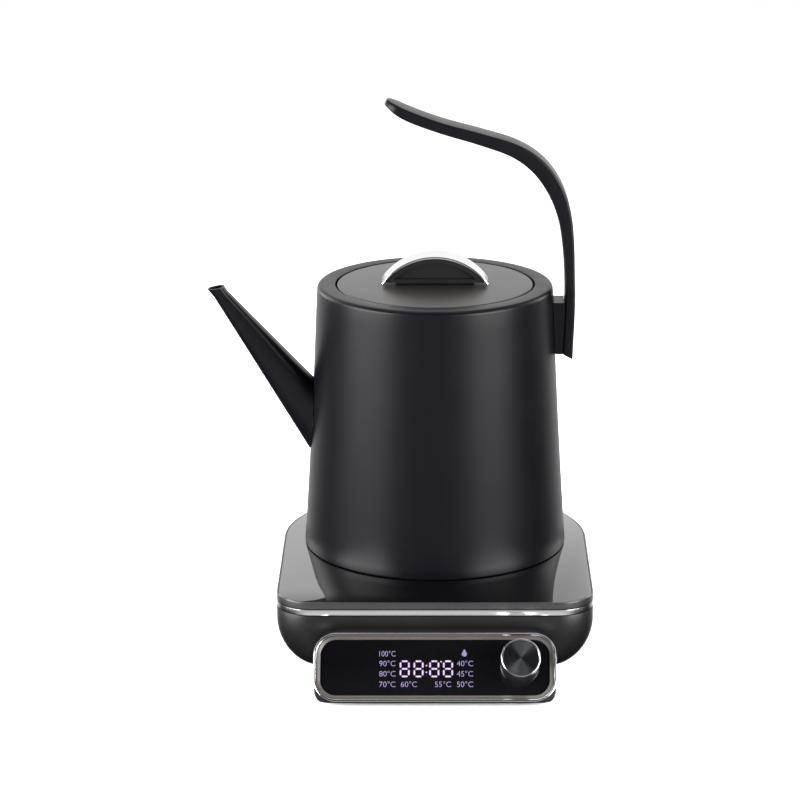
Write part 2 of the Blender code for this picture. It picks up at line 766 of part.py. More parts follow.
def chrome_band():
    low = BOWL_TOP + GAP
    crown = 0.25 * MM
    rings = [
        base_ring(inset, z)
        for inset, z in (
            (DECK_SHOULDER - GAP, BAND_TOP),
            (crown, BAND_TOP),
            (0, (low + BAND_TOP) / 2),
            (crown, low),
            (DECK_SHOULDER - GAP, low),
        )
    ]
    return loft("chrome_band", rings, CHROME, axis, wrap=True)


def top_deck():
    """The plate under the glass, with the dark rim round it and four bosses down to the cover."""
    rings = [
        base_ring(inset, z)
        for inset, z in (
            (DECK_SHOULDER, DECK_BOTTOM),
            (DECK_SHOULDER, BAND_TOP + GAP),
            (0, BAND_TOP + GAP),
            (0, RIM_TOP - 0.3 * MM),
            (0.3 * MM, RIM_TOP),
            (RIM_WIDTH, RIM_TOP),
            (RIM_WIDTH, DECK_TOP),
        )
    ]
    deck = loft("top_deck", rings, RIM_COAT, axis)
    hole = cylinder("deck_hole", COUPLER_RADIUS + GAP, 0, 1, None, axis, steps=ROUND)
    cut(deck, hole)
    low = FOOT_HEIGHT + COVER_THICKNESS + GAP
    bore_top = FOOT_HEIGHT + BASE_SCREW_LENGTH + 4 * MM
    for i, (x, y) in enumerate(BOSS_AT):
        place = {"steps": 12, "at": (x, y, 0)}
        boss = cylinder(f"boss_{i + 1}", BOSS_RADIUS, low, DECK_TOP - 1 * MM, None, axis, **place)
        radius = SCREW_SHANK_RADIUS + GAP
        bore = cylinder(f"boss_bore_{i + 1}", radius, 0, bore_top, None, axis, **place)
        join(deck, boss)
        cut(deck, bore)
    return deck


def glass_top():
    hole = arc((0, 0), COUPLER_RADIUS + GAP, 0, 360 * (1 - 1 / ROUND), ROUND - 1)
    return plate(
        "glass_top",
        base_outline(RIM_WIDTH + GAP),
        GLASS_BOTTOM,
        GLASS_TOP,
        BLACK_GLASS,
        axis,
        holes=[hole],
    )


# ---------------------------------------------------------------- coupler and water way

def base_coupler():
    top = COUPLER_TOP
    flange_top = DECK_BOTTOM - GAP
    profile = [
        (COUPLER_RADIUS - 1 * MM, top),
        (COUPLER_RADIUS, top - 1 * MM),
        (COUPLER_RADIUS, flange_top),
        (COUPLER_RADIUS + COUPLER_FLANGE, flange_top),
        (COUPLER_RADIUS + COUPLER_FLANGE, flange_top - 2.5 * MM),
        (COUPLER_RADIUS + 1 * MM, flange_top - 2.5 * MM),
        (COUPLER_RADIUS + 1 * MM, COUPLER_BOTTOM),
        (COUPLER_BORE, COUPLER_BOTTOM),
        (COUPLER_BORE, top),
        (GROOVE_INNER, top),
        (GROOVE_INNER, top - GROOVE_DEPTH),
        (GROOVE_OUTER, top - GROOVE_DEPTH),
        (GROOVE_OUTER, top),
    ]
    return turned("base_coupler", profile, GREY_PLASTIC, axis, COUPLER_ROUND)


def water_riser():
    """The fixed pipe up the coupler's middle, with a barb for the pump's hose on its foot."""
    foot = RISER_BOTTOM
    profile = [
        (RISER_RADIUS, SLEEVE_TOP - 1 * MM),
        (RISER_RADIUS, COUPLER_BOTTOM - GAP),
        (RISER_RADIUS + 5 * MM, COUPLER_BOTTOM - GAP),
        (RISER_RADIUS + 5 * MM, COUPLER_BOTTOM - 2.3 * MM),
        (RISER_RADIUS, COUPLER_BOTTOM - 2.3 * MM),
        (RISER_RADIUS, foot),
        (RISER_BORE, foot),
        (RISER_BORE, SLEEVE_TOP - 1 * MM),
    ]
    return turned("water_riser", profile, WHITE_PLASTIC, axis, 20)


def nozzle_sleeve():
    """The loose sleeve that turns with the kettle on the riser."""
    inner = RISER_RADIUS + GAP
    nose = SEAL_RADIUS - 2.1 * MM - GAP
    profile = [
        (nose, SEAL_TOP),
        (nose, SLEEVE_TOP - GAP),
        (SLEEVE_RADIUS, SLEEVE_TOP - GAP),
        (SLEEVE_RADIUS, COUPLER_BOTTOM + 4 * MM),
        (inner, COUPLER_BOTTOM + 4 * MM),
        (inner, SEAL_TOP),
    ]
    return turned("nozzle_sleeve", profile, WHITE_PLASTIC, axis, 20)


def nozzle_seal():
    return turned(
        "nozzle_seal",
        ring_profile(SEAL_RADIUS - 2.1 * MM, SEAL_RADIUS, SLEEVE_TOP, SEAL_TOP),
        SILICONE,
        axis,
        20,
    )


def kettle_coupler():
    """The socket under the kettle that drops over the base's coupler."""
    clear = SOCKET_CLEARANCE
    low = GLASS_TOP + 0.6 * MM
    roof = COUPLER_TOP + clear
    top = PLATE_BOTTOM - 1.2 * MM
    outer = COUPLER_RADIUS + clear + SOCKET_WALL
    passage = SEAL_RADIUS + 0.8 * MM
    tongue_low = COUPLER_TOP - GROOVE_DEPTH + 1 * MM
    profile = [
        (outer + 3 * MM, top),
        (outer + 3 * MM, top - 2 * MM),
        (outer, top - 2 * MM),
        (outer, low),
        (COUPLER_RADIUS + clear, low),
        (COUPLER_RADIUS + clear, roof),
        (GROOVE_OUTER - clear, roof),
        (GROOVE_OUTER - clear, tongue_low),
        (GROOVE_INNER + clear, tongue_low),
        (GROOVE_INNER + clear, roof),
        (passage, roof),
        (passage, top),
    ]
    return turned("kettle_coupler", profile, BLACK_PLASTIC, axis, COUPLER_ROUND)


def inlet_fitting():
    """The water inlet through the kettle's bottom plate, with the valve's seat and chamber."""
    flange_low = PLATE_TOP + GAP
    flange_top = flange_low + 2 * MM
    chamber_wall = CHAMBER_RADIUS + CHAMBER_WALL
    profile = [
        (chamber_wall, flange_top + CHAMBER_HEIGHT),
        (chamber_wall, flange_top),
        (FITTING_RADIUS + 4 * MM, flange_top),
        (FITTING_RADIUS + 4 * MM, flange_low),
        (FITTING_RADIUS, flange_low),
        (FITTING_RADIUS, FITTING_BOTTOM),
        (FITTING_BORE, FITTING_BOTTOM),
        (FITTING_BORE, flange_low + 0.6 * MM),
        (CHAMBER_RADIUS, flange_top - 0.2 * MM),
        (CHAMBER_RADIUS, flange_top + CHAMBER_HEIGHT),
    ]
    return turned("inlet_fitting", profile, STEEL, axis, 24)


def valve_poppet():
    top = VALVE_SEAT + GAP + VALVE_DISC
    profile = [
        (0, CAGE_BOTTOM + 2.2 * MM),
        (VALVE_STEM, CAGE_BOTTOM + 2.2 * MM),
        (VALVE_STEM, top),
        (CHAMBER_RADIUS - 2 * GAP, top),
        (CHAMBER_RADIUS - 2 * GAP, VALVE_SEAT + GAP),
        (VALVE_STEM + 1 * MM, VALVE_SEAT + GAP),
        (VALVE_STEM + 1 * MM, FITTING_BOTTOM + 1.4 * MM),
        (0, FITTING_BOTTOM + 1.4 * MM),
    ]
    return turned("valve_poppet", profile, SILICONE, axis, 20)


def valve_cage():
    """The perforated cap that holds the spring down and guides the stem."""
    outer = CHAMBER_RADIUS + CHAMBER_WALL
    cage = turned(
        "valve_cage",
        ring_profile(VALVE_STEM + GAP, outer, CAGE_BOTTOM, CAGE_BOTTOM + 1.4 * MM),
        STEEL,
        axis,
        24,
    )
    for i in range(6):
        angle = i * math.pi / 3
        at = (4.9 * MM * math.cos(angle), 4.9 * MM * math.sin(angle), CAGE_BOTTOM - 1 * MM)
        cut(cage, cylinder(f"cage_hole_{i + 1}", 1.4 * MM, 0, 4 * MM, None, axis, 6, at=at))
    return cage


def valve_spring():
    wire = SPRING_WIRE
    low = VALVE_SEAT + GAP + VALVE_DISC + wire + GAP / 3
    high = CAGE_BOTTOM - wire - GAP / 3
    turns = 3
    per_turn = 10
    count = turns * per_turn
    points = []
    for i in range(count + 1):
        angle = 2 * math.pi * i / per_turn
        height = low + (high - low) * i / count
        points.append((SPRING_RADIUS * math.cos(angle), SPRING_RADIUS * math.sin(angle), height))
    return tube("valve_spring", points, wire, STEEL, axis, resolution=1)


# ---------------------------------------------------------------- pump, hoses and boards

def pump():
    wall = VOLUTE_WALL
    turned(
        "pump_volute",
        [
            (VOLUTE_RADIUS, VOLUTE_TOP),
            (VOLUTE_RADIUS, VOLUTE_BOTTOM),
            (3 * MM, VOLUTE_BOTTOM),
            (3 * MM, VOLUTE_BOTTOM + wall),
            (VOLUTE_RADIUS - wall, VOLUTE_BOTTOM + wall),
            (VOLUTE_RADIUS - wall, VOLUTE_TOP),
        ],
        WHITE_PLASTIC,
        pump_axis,
        24,
    )
    motor_low = VOLUTE_TOP + GAP
    flange = motor_low + 2 * MM
    shaft = 1.5 * MM
    turned(
        "pump_motor",
        [
            (0, flange + PUMP_MOTOR_HEIGHT),
            (PUMP_MOTOR_RADIUS - 1 * MM, flange + PUMP_MOTOR_HEIGHT),
            (PUMP_MOTOR_RADIUS, flange + PUMP_MOTOR_HEIGHT - 1 * MM),
            (PUMP_MOTOR_RADIUS, flange),
            (VOLUTE_RADIUS, flange),
            (VOLUTE_RADIUS, motor_low),
            (shaft + GAP, motor_low),
            (shaft + GAP, flange + 6 * MM),
            (0, flange + 6 * MM),
        ],
        STEEL,
        pump_axis,
        24,
    )
    hub_low = VOLUTE_BOTTOM + wall + 1 * MM
    impeller = turned(
        "pump_impeller",
        [
            (0, flange + 5 * MM),
            (shaft, flange + 5 * MM),
            (shaft, VOLUTE_TOP - 3 * MM),
            (IMPELLER_RADIUS, VOLUTE_TOP - 3 * MM),
            (IMPELLER_RADIUS, VOLUTE_TOP - 4 * MM),
            (3.5 * MM, VOLUTE_TOP - 4 * MM),
            (3.5 * MM, hub_low),
            (0, hub_low),
        ],
        WHITE_PLASTIC,
        pump_axis,
        16,
    )
    vanes = 6
    for i in range(vanes):
        blade = box(
            f"impeller_vane_{i + 1}",
            (2 * MM, -0.5 * MM, hub_low),
            (IMPELLER_RADIUS - 0.5 * MM, 0.5 * MM, VOLUTE_TOP - 3.5 * MM),
            None,
            pump_axis,
            turn=(0, 0, 2 * math.pi * i / vanes),
        )
        join(impeller, blade)


def hose(name, start, leaves, end, arrives, reach):
    """A hose on one Bezier curve that leaves and arrives straight, over a given reach."""
    p0 = Vector(start)
    p1 = p0 + Vector(leaves) * reach
    p3 = Vector(end)
    p2 = p3 - Vector(arrives) * reach
    steps = 10
    points = []
    for i in range(steps + 1):
        t = i / steps
        u = 1 - t
        points.append(u**3 * p0 + 3 * u * u * t * p1 + 3 * u * t * t * p2 + t**3 * p3)
    points.insert(1, p0 + Vector(leaves) * 0.5 * MM)
    points.insert(-1, p3 - Vector(arrives) * 0.5 * MM)
    return tube(name, points, HOSE_RADIUS, SILICONE, axis)


def hoses():
    level = VOLUTE_BOTTOM + VOLUTE_HEIGHT / 2
    side = VOLUTE_RADIUS + GAP
    pump_x, pump_y = PUMP_AT
    hose(
        "riser_hose",
        (pump_x + side, pump_y, level),
        (1, 0, 0),
        (0, 0, RISER_BOTTOM - GAP),
        (0, 0, 1),
        12 * MM,
    )
    seat = base_flange_seat(INLET_X, PORT_FLANGE_RADIUS)
    hose(
        "inlet_hose",
        (INLET_X, seat + seat_depth(INLET_X, seat) - GAP, PORT_HEIGHT),
        (0, -1, 0),
        (pump_x, pump_y + side, level),
        (0, -1, 0),
        9 * MM,
    )


def power_board():
    x, y = POWER_BOARD_AT
    low = LIP_TOP + 4 * MM
    high = low + BOARD_THICKNESS
    half_x, half_y = POWER_BOARD_HALF
    box(
        "power_board",
        (x - half_x, y - half_y, low),
        (x + half_x, y + half_y, high),
        CIRCUIT_BOARD,
        axis,
    )
    part_low = high + GAP
    box(
        "power_relay",
        (x - 20 * MM, y + 2 * MM, part_low),
        (x - 1 * MM, y + 15 * MM, part_low + 15 * MM),
        WHITE_PLASTIC,
        axis,
        0.6 * MM,
    )


# ---------------------------------------------------------------- control pod

def control_pod():
    outline = rounded_rectangle(
        PANEL_HALF_WIDTH - GAP,
        GAP - PANEL_HALF_HEIGHT,
        PANEL_HALF_HEIGHT - GAP,
        PANEL_CORNER,
        low_corner=POD_LOW_CORNER,
    )
    top = panel_point(0, PANEL_HALF_HEIGHT, 0)[2]
    low = FOOT_HEIGHT + GAP
    front = [panel_point(x, y, POD_FRONT) for x, y in outline]
    lip = [panel_point(x, y, POD_FRONT - POD_LIP) for x, y in outline]
    lip = [(x, y, max(z, POD_FLOOR)) for x, y, z in lip]
    back = []
    for x, y in outline:
        rise = (y + PANEL_HALF_HEIGHT) / (2 * PANEL_HALF_HEIGHT)
        z = low + (top - low) * rise
        back.append((x * POD_TAPER, POD_ROOT_LOW + (POD_ROOT_HIGH - POD_ROOT_LOW) * rise, z))
    pod = loft("control_pod", [front, lip, back], BLACK_PLASTIC, axis)
    pocket = plate(
        "pod_pocket",
        rounded_rectangle(POCKET_HALF_WIDTH, POCKET_LOW, POCKET_HIGH, 4 * MM, 2),
        POD_FRONT - POCKET_DEPTH,
        5 * MM,
        None,
        panel,
    )
    passage = box(
        "pod_passage",
        (-WINDOW_HALF_WIDTH, PANEL_Y + 9 * MM, WINDOW_LOW),
        (WINDOW_HALF_WIDTH, -BASE_FRONT + 20 * MM, WINDOW_HIGH),
        None,
        axis,
    )
    return cut(pod, bowl_solid("pod_against_bowl", GAP), pocket, passage)


def panel_ring(inset, z):
    outline = rounded_rectangle(
        PANEL_HALF_WIDTH - inset,
        -PANEL_HALF_HEIGHT + inset,
        PANEL_HALF_HEIGHT - inset,
        PANEL_CORNER - inset,
        7,
    )
    return [(x, y, z) for x, y in outline]


def chrome_frame():
    edge = 0.35 * MM
    rings = [
        panel_ring(0, -FRAME_DEPTH),
        panel_ring(0, -edge),
        panel_ring(edge, 0),
        panel_ring(FRAME_WIDTH - edge, 0),
        panel_ring(FRAME_WIDTH, -edge),
        panel_ring(FRAME_WIDTH, -FRAME_DEPTH),
    ]
    return loft("chrome_frame", rings, CHROME, panel, wrap=True)


def panel_bezel():
    rings = [
        panel_ring(BEZEL_INSET, BEZEL_BOTTOM),
        panel_ring(BEZEL_INSET, BEZEL_TOP),
        panel_ring(BEZEL_INSET + BEZEL_WIDTH, BEZEL_TOP - 0.5 * MM),
        panel_ring(BEZEL_INSET + BEZEL_WIDTH, BEZEL_BOTTOM),
    ]
    return loft("panel_bezel", rings, BEZEL, panel, wrap=True)


def display_glass():
    outline = [(x, y) for x, y, _ in panel_ring(BEZEL_INSET, 0)]
    steps = 24
    hole = arc((KNOB_X, KNOB_Y), BUSH_RADIUS + GAP, 0, 360 * (1 - 1 / steps), steps - 1)
    return plate(
        "display_glass",
        outline,
        DISPLAY_TOP - DISPLAY_THICKNESS,
        DISPLAY_TOP,
        BLACK_GLASS,
        panel,
        holes=[hole],
    )


def display_board():
    half = POCKET_HALF_WIDTH - 3 * MM
    box(
        "display_board",
        (-half, POCKET_LOW + 1.5 * MM, BOARD_TOP - BOARD_THICKNESS),
        (half, POCKET_HIGH - 1.5 * MM, BOARD_TOP),
        CIRCUIT_BOARD,
        panel,
    )
    x, y = DIGITS_AT
    half_x, half_y = DIGITS_HALF
    box(
        "digit_module",
        (x - half_x, y - half_y, BOARD_TOP + GAP),
        (x + half_x, y + half_y, POD_FRONT - 0.2 * MM),
        WHITE_PLASTIC,
        panel,
    )


def encoder():
    """The rotary switch under the knob: body with its bush, rotor and shaft."""
    low = BOARD_TOP + GAP
    high = POD_FRONT - 0.2 * MM
    half = SWITCH_HALF
    body = box("encoder_body", (-half, -half, low), (half, half, high), STEEL, knob_axis)
    bush = cylinder("encoder_bush", BUSH_RADIUS, high - 1 * MM, BUSH_TOP, None, knob_axis, 24)
    bore = cylinder("encoder_bore", BUSH_BORE, low + 1 * MM, 1, None, knob_axis, 24)
    cut(join(body, bush), bore)
    turned(
        "encoder_rotor",
        ring_profile(
            SHAFT_RADIUS + GAP,
            BUSH_BORE - GAP,
            low + 1.5 * MM + KNOB_TRAVEL,
            BUSH_TOP - 1 * MM,
        ),
        GREY_PLASTIC,
        knob_axis,
        24,
    )
    turned(
        "encoder_shaft",
        disc_profile(SHAFT_RADIUS, low + 1.3 * MM + KNOB_TRAVEL, KNOB_TOP - 3 * MM),
        STEEL,
        knob_axis,
        24,
    )


def knob():
    rim_low = DISPLAY_TOP + KNOB_TRAVEL + 0.4 * MM
    cavity = KNOB_RADIUS - KNOB_WALL
    cavity_top = BUSH_TOP + KNOB_TRAVEL + 0.6 * MM
    edge = 0.35 * MM
    face_low = KNOB_TOP - FACE_THICKNESS - GAP
    profile = [
        (KNOB_RADIUS - edge, KNOB_TOP),
        (KNOB_RADIUS, KNOB_TOP - edge),
        (KNOB_RADIUS, rim_low),
        (cavity, rim_low),
        (cavity, cavity_top),
        (SHAFT_RADIUS + GAP, cavity_top),
        (SHAFT_RADIUS + GAP, face_low),
        (KNOB_RADIUS - KNOB_RIM, face_low),
        (KNOB_RADIUS - KNOB_RIM, KNOB_TOP),
    ]
    turned("knob_shell", profile, CHROME, knob_axis, 32)
    turned(
        "knob_face",
        disc_profile(KNOB_RADIUS - KNOB_RIM - GAP / 3, face_low + GAP, KNOB_TOP - 0.15 * MM),
        DARK_STEEL,
        knob_axis,
        32,
    )


# ---------------------------------------------------------------- kettle

def body_solid(name, growth):
    """The kettle's outer shape as one solid, grown by a clearance."""
    profile = [(0, BODY_HEIGHT)]
    profile += [(body_radius(h) + growth, h) for h in [BODY_HEIGHT, *WALL_HEIGHTS, 0]]
    profile.append((0, 0))
    return helper(turned(name, profile, None, kettle))


def body_shell():
    top = BODY_HEIGHT
    rim = body_radius(top)
    wall = BODY_WALL
    outer = arc((rim - SHOULDER, top - SHOULDER), SHOULDER, 90, 0, 3)
    inner = arc((rim - SHOULDER, top - SHOULDER), SHOULDER - wall, 0, 90, 1)
    foot = FOOT_CLEARANCE
    ledge = top - LEDGE_DEPTH
    profile = outer
    profile += [(body_radius(h), h) for h in WALL_HEIGHTS]
    profile += [(body_radius(foot + 1 * MM), foot + 1 * MM), (body_radius(foot) - 0.5 * MM, foot)]
    profile += [(body_radius(foot) - 0.5 * MM - wall, foot), (body_radius(foot) - wall, foot + 1 * MM)]
    profile += [(body_radius(h) - wall, h) for h in reversed(WALL_HEIGHTS)]
    profile += inner
    profile += [
        (MOUTH_RADIUS + wall, top - wall),
        (MOUTH_RADIUS + wall, ledge - wall),
        (MOUTH_RADIUS - LEDGE_WIDTH, ledge - wall),
        (MOUTH_RADIUS - LEDGE_WIDTH, ledge),
        (MOUTH_RADIUS, ledge),
        (MOUTH_RADIUS, top),
    ]
    shell = turned("body_shell", profile, BLACK_COAT, kettle)
    hole = cylinder(
        "spout_hole",
        SPOUT_HOLE_RADIUS,
        body_radius(SPOUT_HOLE_HEIGHT) - 6 * MM,
        body_radius(SPOUT_HOLE_HEIGHT) + 6 * MM,
        None,
        kettle,
        24,
        at=(0, 0, SPOUT_HOLE_HEIGHT),
        turn=(0, -math.pi / 2, 0),
    )
    return cut(shell, hole)


def spout_section(low, high, half_width, inset, count=16):
    """One closed section: round below, squarer above, so two soft ridges run up the spout."""
    middle = (low + high) / 2
    half = (high - low).length / 2
    up = (high - low).normalized()
    points = []
    for i in range(count):
        angle = 2 * math.pi * i / count
        across = math.cos(angle)
        rise = math.sin(angle)
        power = 0.62 if rise > 0 else 0.9
        across = math.copysign(abs(across) ** power, across)
        rise = math.copysign(abs(rise) ** power, rise)
        side = Vector((0, (half_width - inset) * across, 0))
        points.append(middle + side + up * ((half - inset) * rise))
    return points


def mix(a, b, t):
    return tuple(p + (q - p) * t for p, q in zip(a, b))


def spout_point(edge):
    """A point of the spout's outline, from how far it stands out and how far under the rim."""
    out, drop = edge
    return Vector((-BODY_FOOT_RADIUS - out, 0, BODY_HEIGHT - drop))


def spout():
    stations = 6
    outer = []
    inner = []
    for i in range(stations + 1):
        t = i / stations
        low = spout_point(mix(SPOUT_ROOT_LOW, SPOUT_NECK_LOW, t))
        high = spout_point(mix(SPOUT_ROOT_HIGH, SPOUT_NECK_HIGH, t))
        spread = SPOUT_ROOT_HALF_WIDTH - SPOUT_TIP_HALF_WIDTH
        half_width = SPOUT_TIP_HALF_WIDTH + spread * (1 - t) ** 1.4
        outer.append(spout_section(low, high, half_width, 0))
        inner.append(spout_section(low, high, half_width, SPOUT_WALL))
    low = spout_point(SPOUT_TIP_LOW)
    high = spout_point(SPOUT_TIP_HIGH)
    outer.append(spout_section(low, high, SPOUT_TIP_HALF_WIDTH, 0))
    inner.append(spout_section(low, high, SPOUT_TIP_HALF_WIDTH, SPOUT_WALL))
    made = loft("spout", outer + inner[::-1], BLACK_COAT, kettle, wrap=True)
    return cut(made, body_solid("spout_against_body", GAP))


def spout_strainer():
    """The perforated disc in the wall behind the spout."""
    radius = SPOUT_HOLE_RADIUS - GAP
    middle = body_radius(SPOUT_HOLE_HEIGHT) - BODY_WALL
    strainer = cylinder(
        "spout_strainer",
        radius,
        0,
        STRAINER_THICKNESS,
        STEEL,
        kettle,
        24,
        at=(-middle, 0, SPOUT_HOLE_HEIGHT),
        turn=(0, -math.pi / 2, 0),
    )
    spots = [(0, 0)]
    spots += arc((0, 0), 4 * MM, 0, 300, 5)
    spots += arc((0, 0), 8.2 * MM, 0, 324, 9)
    for i, (across, rise) in enumerate(spots):
        hole = cylinder(
            f"strainer_hole_{i + 1}",
            STRAINER_HOLE,
            -2 * MM,
            4 * MM,
            None,
            kettle,
            6,
            at=(-middle, across, SPOUT_HOLE_HEIGHT + rise),
            turn=(0, -math.pi / 2, 0),
        )
        cut(strainer, hole)
    return strainer


def bottom_plate():
    rim = body_radius(PLATE_HEIGHT + PLATE_RIM) - BODY_WALL - GAP
    low = PLATE_HEIGHT
    high = low + PLATE_THICKNESS
    profile = [
        (rim, low + PLATE_RIM),
        (rim, low),
        (FITTING_RADIUS + GAP, low),
        (FITTING_RADIUS + GAP, high),
        (rim - PLATE_THICKNESS, high),
        (rim - PLATE_THICKNESS, low + PLATE_RIM),
    ]
    made = turned("bottom_plate", profile, STEEL, kettle)
    hole = cylinder("sensor_hole", SENSOR_RADIUS + GAP, 0, 1, None, kettle, at=(*SENSOR_AT, 0))
    return cut(made, hole)


def heating_element():
    """A ring of sheathed tube under the plate, its two cold ends turned down side by side."""
    middle = PLATE_HEIGHT - GAP - ELEMENT_TUBE
    opening = 9
    turns = arc((0, 0), ELEMENT_RADIUS, opening, 360 - opening, 30)
    points = [(x, y, middle) for x, y in turns]
    drop = 4.5 * MM
    first = (points[0][0] - 2 * MM, points[0][1] - 1 * MM, middle - drop)
    last = (points[-1][0] - 2 * MM, points[-1][1] + 1 * MM, middle - drop)
    return tube("heating_element", [first, *points, last], ELEMENT_TUBE, STEEL, kettle)


def thermostat_and_sensor():
    low = BASE_CAP_THICKNESS + 2.5 * MM
    box(
        "thermostat",
        (-38 * MM, -9 * MM, low),
        (-29 * MM, 9 * MM, PLATE_HEIGHT - GAP),
        WHITE_PLASTIC,
        kettle,
        0.5 * MM,
    )
    probe = [
        (0, PLATE_HEIGHT + 8 * MM),
        (SENSOR_RADIUS - 1 * MM, PLATE_HEIGHT + 8 * MM),
        (SENSOR_RADIUS, PLATE_HEIGHT + 7 * MM),
        (SENSOR_RADIUS, PLATE_HEIGHT - GAP),
        (SENSOR_RADIUS + 2 * MM, PLATE_HEIGHT - GAP),
        (SENSOR_RADIUS + 2 * MM, PLATE_HEIGHT - 3 * MM),
        (0, PLATE_HEIGHT - 3 * MM),
    ]
    turned("temperature_sensor", probe, STEEL, kettle, 20, at=(*SENSOR_AT, 0))


def kettle_bottom_cover():
    outer = body_radius(FOOT_CLEARANCE) - 0.5 * MM - BODY_WALL - GAP
    inner = COUPLER_RADIUS + SOCKET_CLEARANCE + SOCKET_WALL + GAP
    return turned(
        "kettle_bottom_cover",
        [
            (outer - 0.5 * MM, BASE_CAP_THICKNESS),
            (outer, BASE_CAP_THICKNESS - 0.5 * MM),
            (outer, GAP),
            (inner, GAP),
            (inner, BASE_CAP_THICKNESS),
        ],
        BLACK_PLASTIC,
        kettle,
    )


# ---------------------------------------------------------------- handle

def handle_section(place, tangent, half_width, half_thickness):
    """A flat strap's section with rounded edges, square to the handle's line."""
    out = Vector((-tangent.z, 0, tangent.x))
    edge = min(HANDLE_EDGE, half_thickness * 0.9, half_width * 0.9)
    outline = rounded_rectangle(half_width, -half_thickness, half_thickness, edge, 2)
    return [place + Vector((0, y, 0)) + out * n for y, n in outline]


def handle_rings(growth):
    """The strap's sections: (x, height above the glass, half thickness) run smoothly along it."""
    line = [Vector((HANDLE_REACH - x * MM, t * MM, BODY_HEIGHT + z * MM)) for x, z, t in HANDLE_LINE]
    stations = curve_through(line, 2)
    rings = []
    run = 0.0
    before = stations[0][0]
    for place, tangent in stations:
        run += math.hypot(place.x - before.x, place.z - before.z)
        before = place
        half_width = HANDLE_HALF_WIDTH
        if run < HANDLE_TIP_LENGTH:
            edge = 0.8 * MM
            ahead = 1 - (run + edge) / (HANDLE_TIP_LENGTH + edge)
            half_width *= math.sqrt(1 - ahead**2)
        middle = Vector((place.x, 0, place.z))
        along = Vector((tangent.x, 0, tangent.z)).normalized()
        rings.append(handle_section(middle, along, half_width + growth, place.y + growth))
    middle = sum(rings[-1], Vector()) / len(rings[-1])
    rings[-1] = [p - Vector((0, 0, HANDLE_SLANT * (p.x - middle.x))) for p in rings[-1]]
    return rings


def screw_cut(name, radius, low, high, drop):
    """A cutter along X, at one of the handle's screws."""
    at = (0, 0, BODY_HEIGHT - drop)
    return cylinder(name, radius, low, high, None, kettle, at=at, turn=(0, math.pi / 2, 0))


def handle():
    made = loft("handle", handle_rings(0), BLACK_COAT, kettle)
    beyond = HANDLE_REACH + BRACKET_DEPTH
    for i, drop in enumerate(HANDLE_SCREW_DROPS):
        shank = SCREW_SHANK_RADIUS + GAP
        head = SCREW_HEAD_RADIUS + GAP
        cut(
            made,
            screw_cut(f"handle_hole_{i + 1}", shank, HANDLE_REACH - BRACKET_DEPTH, beyond, drop),
            screw_cut(f"head_recess_{i + 1}", head, SCREW_SEAT - GAP, beyond, drop),
        )
    return made


def handle_bracket():
    made = box(
        "handle_bracket",
        (HANDLE_REACH - BRACKET_DEPTH, -BRACKET_HALF_WIDTH, BODY_HEIGHT - BRACKET_LOW),
        (SCREW_SEAT, BRACKET_HALF_WIDTH, BODY_HEIGHT - BRACKET_HIGH),
        BLACK_COAT,
        kettle,
    )
    strap = helper(loft("handle_clearance", handle_rings(GAP), None, kettle))
    beyond = box(
        "beyond_handle",
        (HANDLE_REACH, -2 * BRACKET_HALF_WIDTH, 0),
        (2 * HANDLE_REACH, 2 * BRACKET_HALF_WIDTH, BODY_HEIGHT),
        None,
        kettle,
    )
    cut(made, body_solid("bracket_against_body", GAP), strap, beyond)
    for i, drop in enumerate(HANDLE_SCREW_DROPS):
        radius = SCREW_SHANK_RADIUS + GAP
        low = HANDLE_REACH - 2 * BRACKET_DEPTH
        cut(made, screw_cut(f"bracket_hole_{i + 1}", radius, low, SCREW_SEAT + BRACKET_DEPTH, drop))
    return made


def handle_screws():
    for i, drop in enumerate(HANDLE_SCREW_DROPS):
        height = BODY_HEIGHT - drop
        length = SCREW_SEAT - body_radius(height) - 2 * GAP
        turned(
            f"handle_screw_{i + 1}",
            screw_profile(length),
            STEEL,
            kettle,
            12,
            at=(SCREW_SEAT, 0, height),
            turn=(0, -math.pi / 2, 0),
        )


# ---------------------------------------------------------------- lid

def lid_plate():
    radius = MOUTH_RADIUS - LID_GAP
    skirt = LID_SKIRT_RADIUS
    low = LID_TOP - LID_SKIRT_DEPTH
    wall = 1 * MM
    profile = [(0, LID_TOP), (radius - 0.8 * MM, LID_TOP), (radius, LID_TOP - 0.8 * MM)]
    profile += [
        (radius, LID_SEAT),
        (skirt, LID_SEAT),
        (skirt, low),
        (skirt - wall, low),
        (skirt - wall, LID_TOP - LID_THICKNESS),
        (0, LID_TOP - LID_THICKNESS),
    ]
    made = turned("lid_plate", profile, LID_COAT, kettle)
    for i, x in enumerate((-GRIP_SCREW_X, GRIP_SCREW_X)):
        cut(made, grip_screw_hole(f"lid_hole_{i + 1}", x, LID_TOP - 9 * MM, LID_TOP + 1 * MM))
    return made


def grip_screw_hole(name, x, low, high):
    return cylinder(name, SCREW_SHANK_RADIUS + GAP, low, high, None, kettle, at=(x, 0, 0))


def lid_seal():
    inner = LID_SKIRT_RADIUS + GAP
    outer = MOUTH_RADIUS - LEDGE_WIDTH - GAP
    high = LID_SEAT - LEDGE_DEPTH
    low = high - 4 * MM
    profile = [
        (inner + 0.5 * MM, high),
        (outer, (high + low) / 2),
        (inner + 0.5 * MM, low),
        (inner, low),
        (inner, high),
    ]
    return turned("lid_seal", profile, SILICONE, kettle)


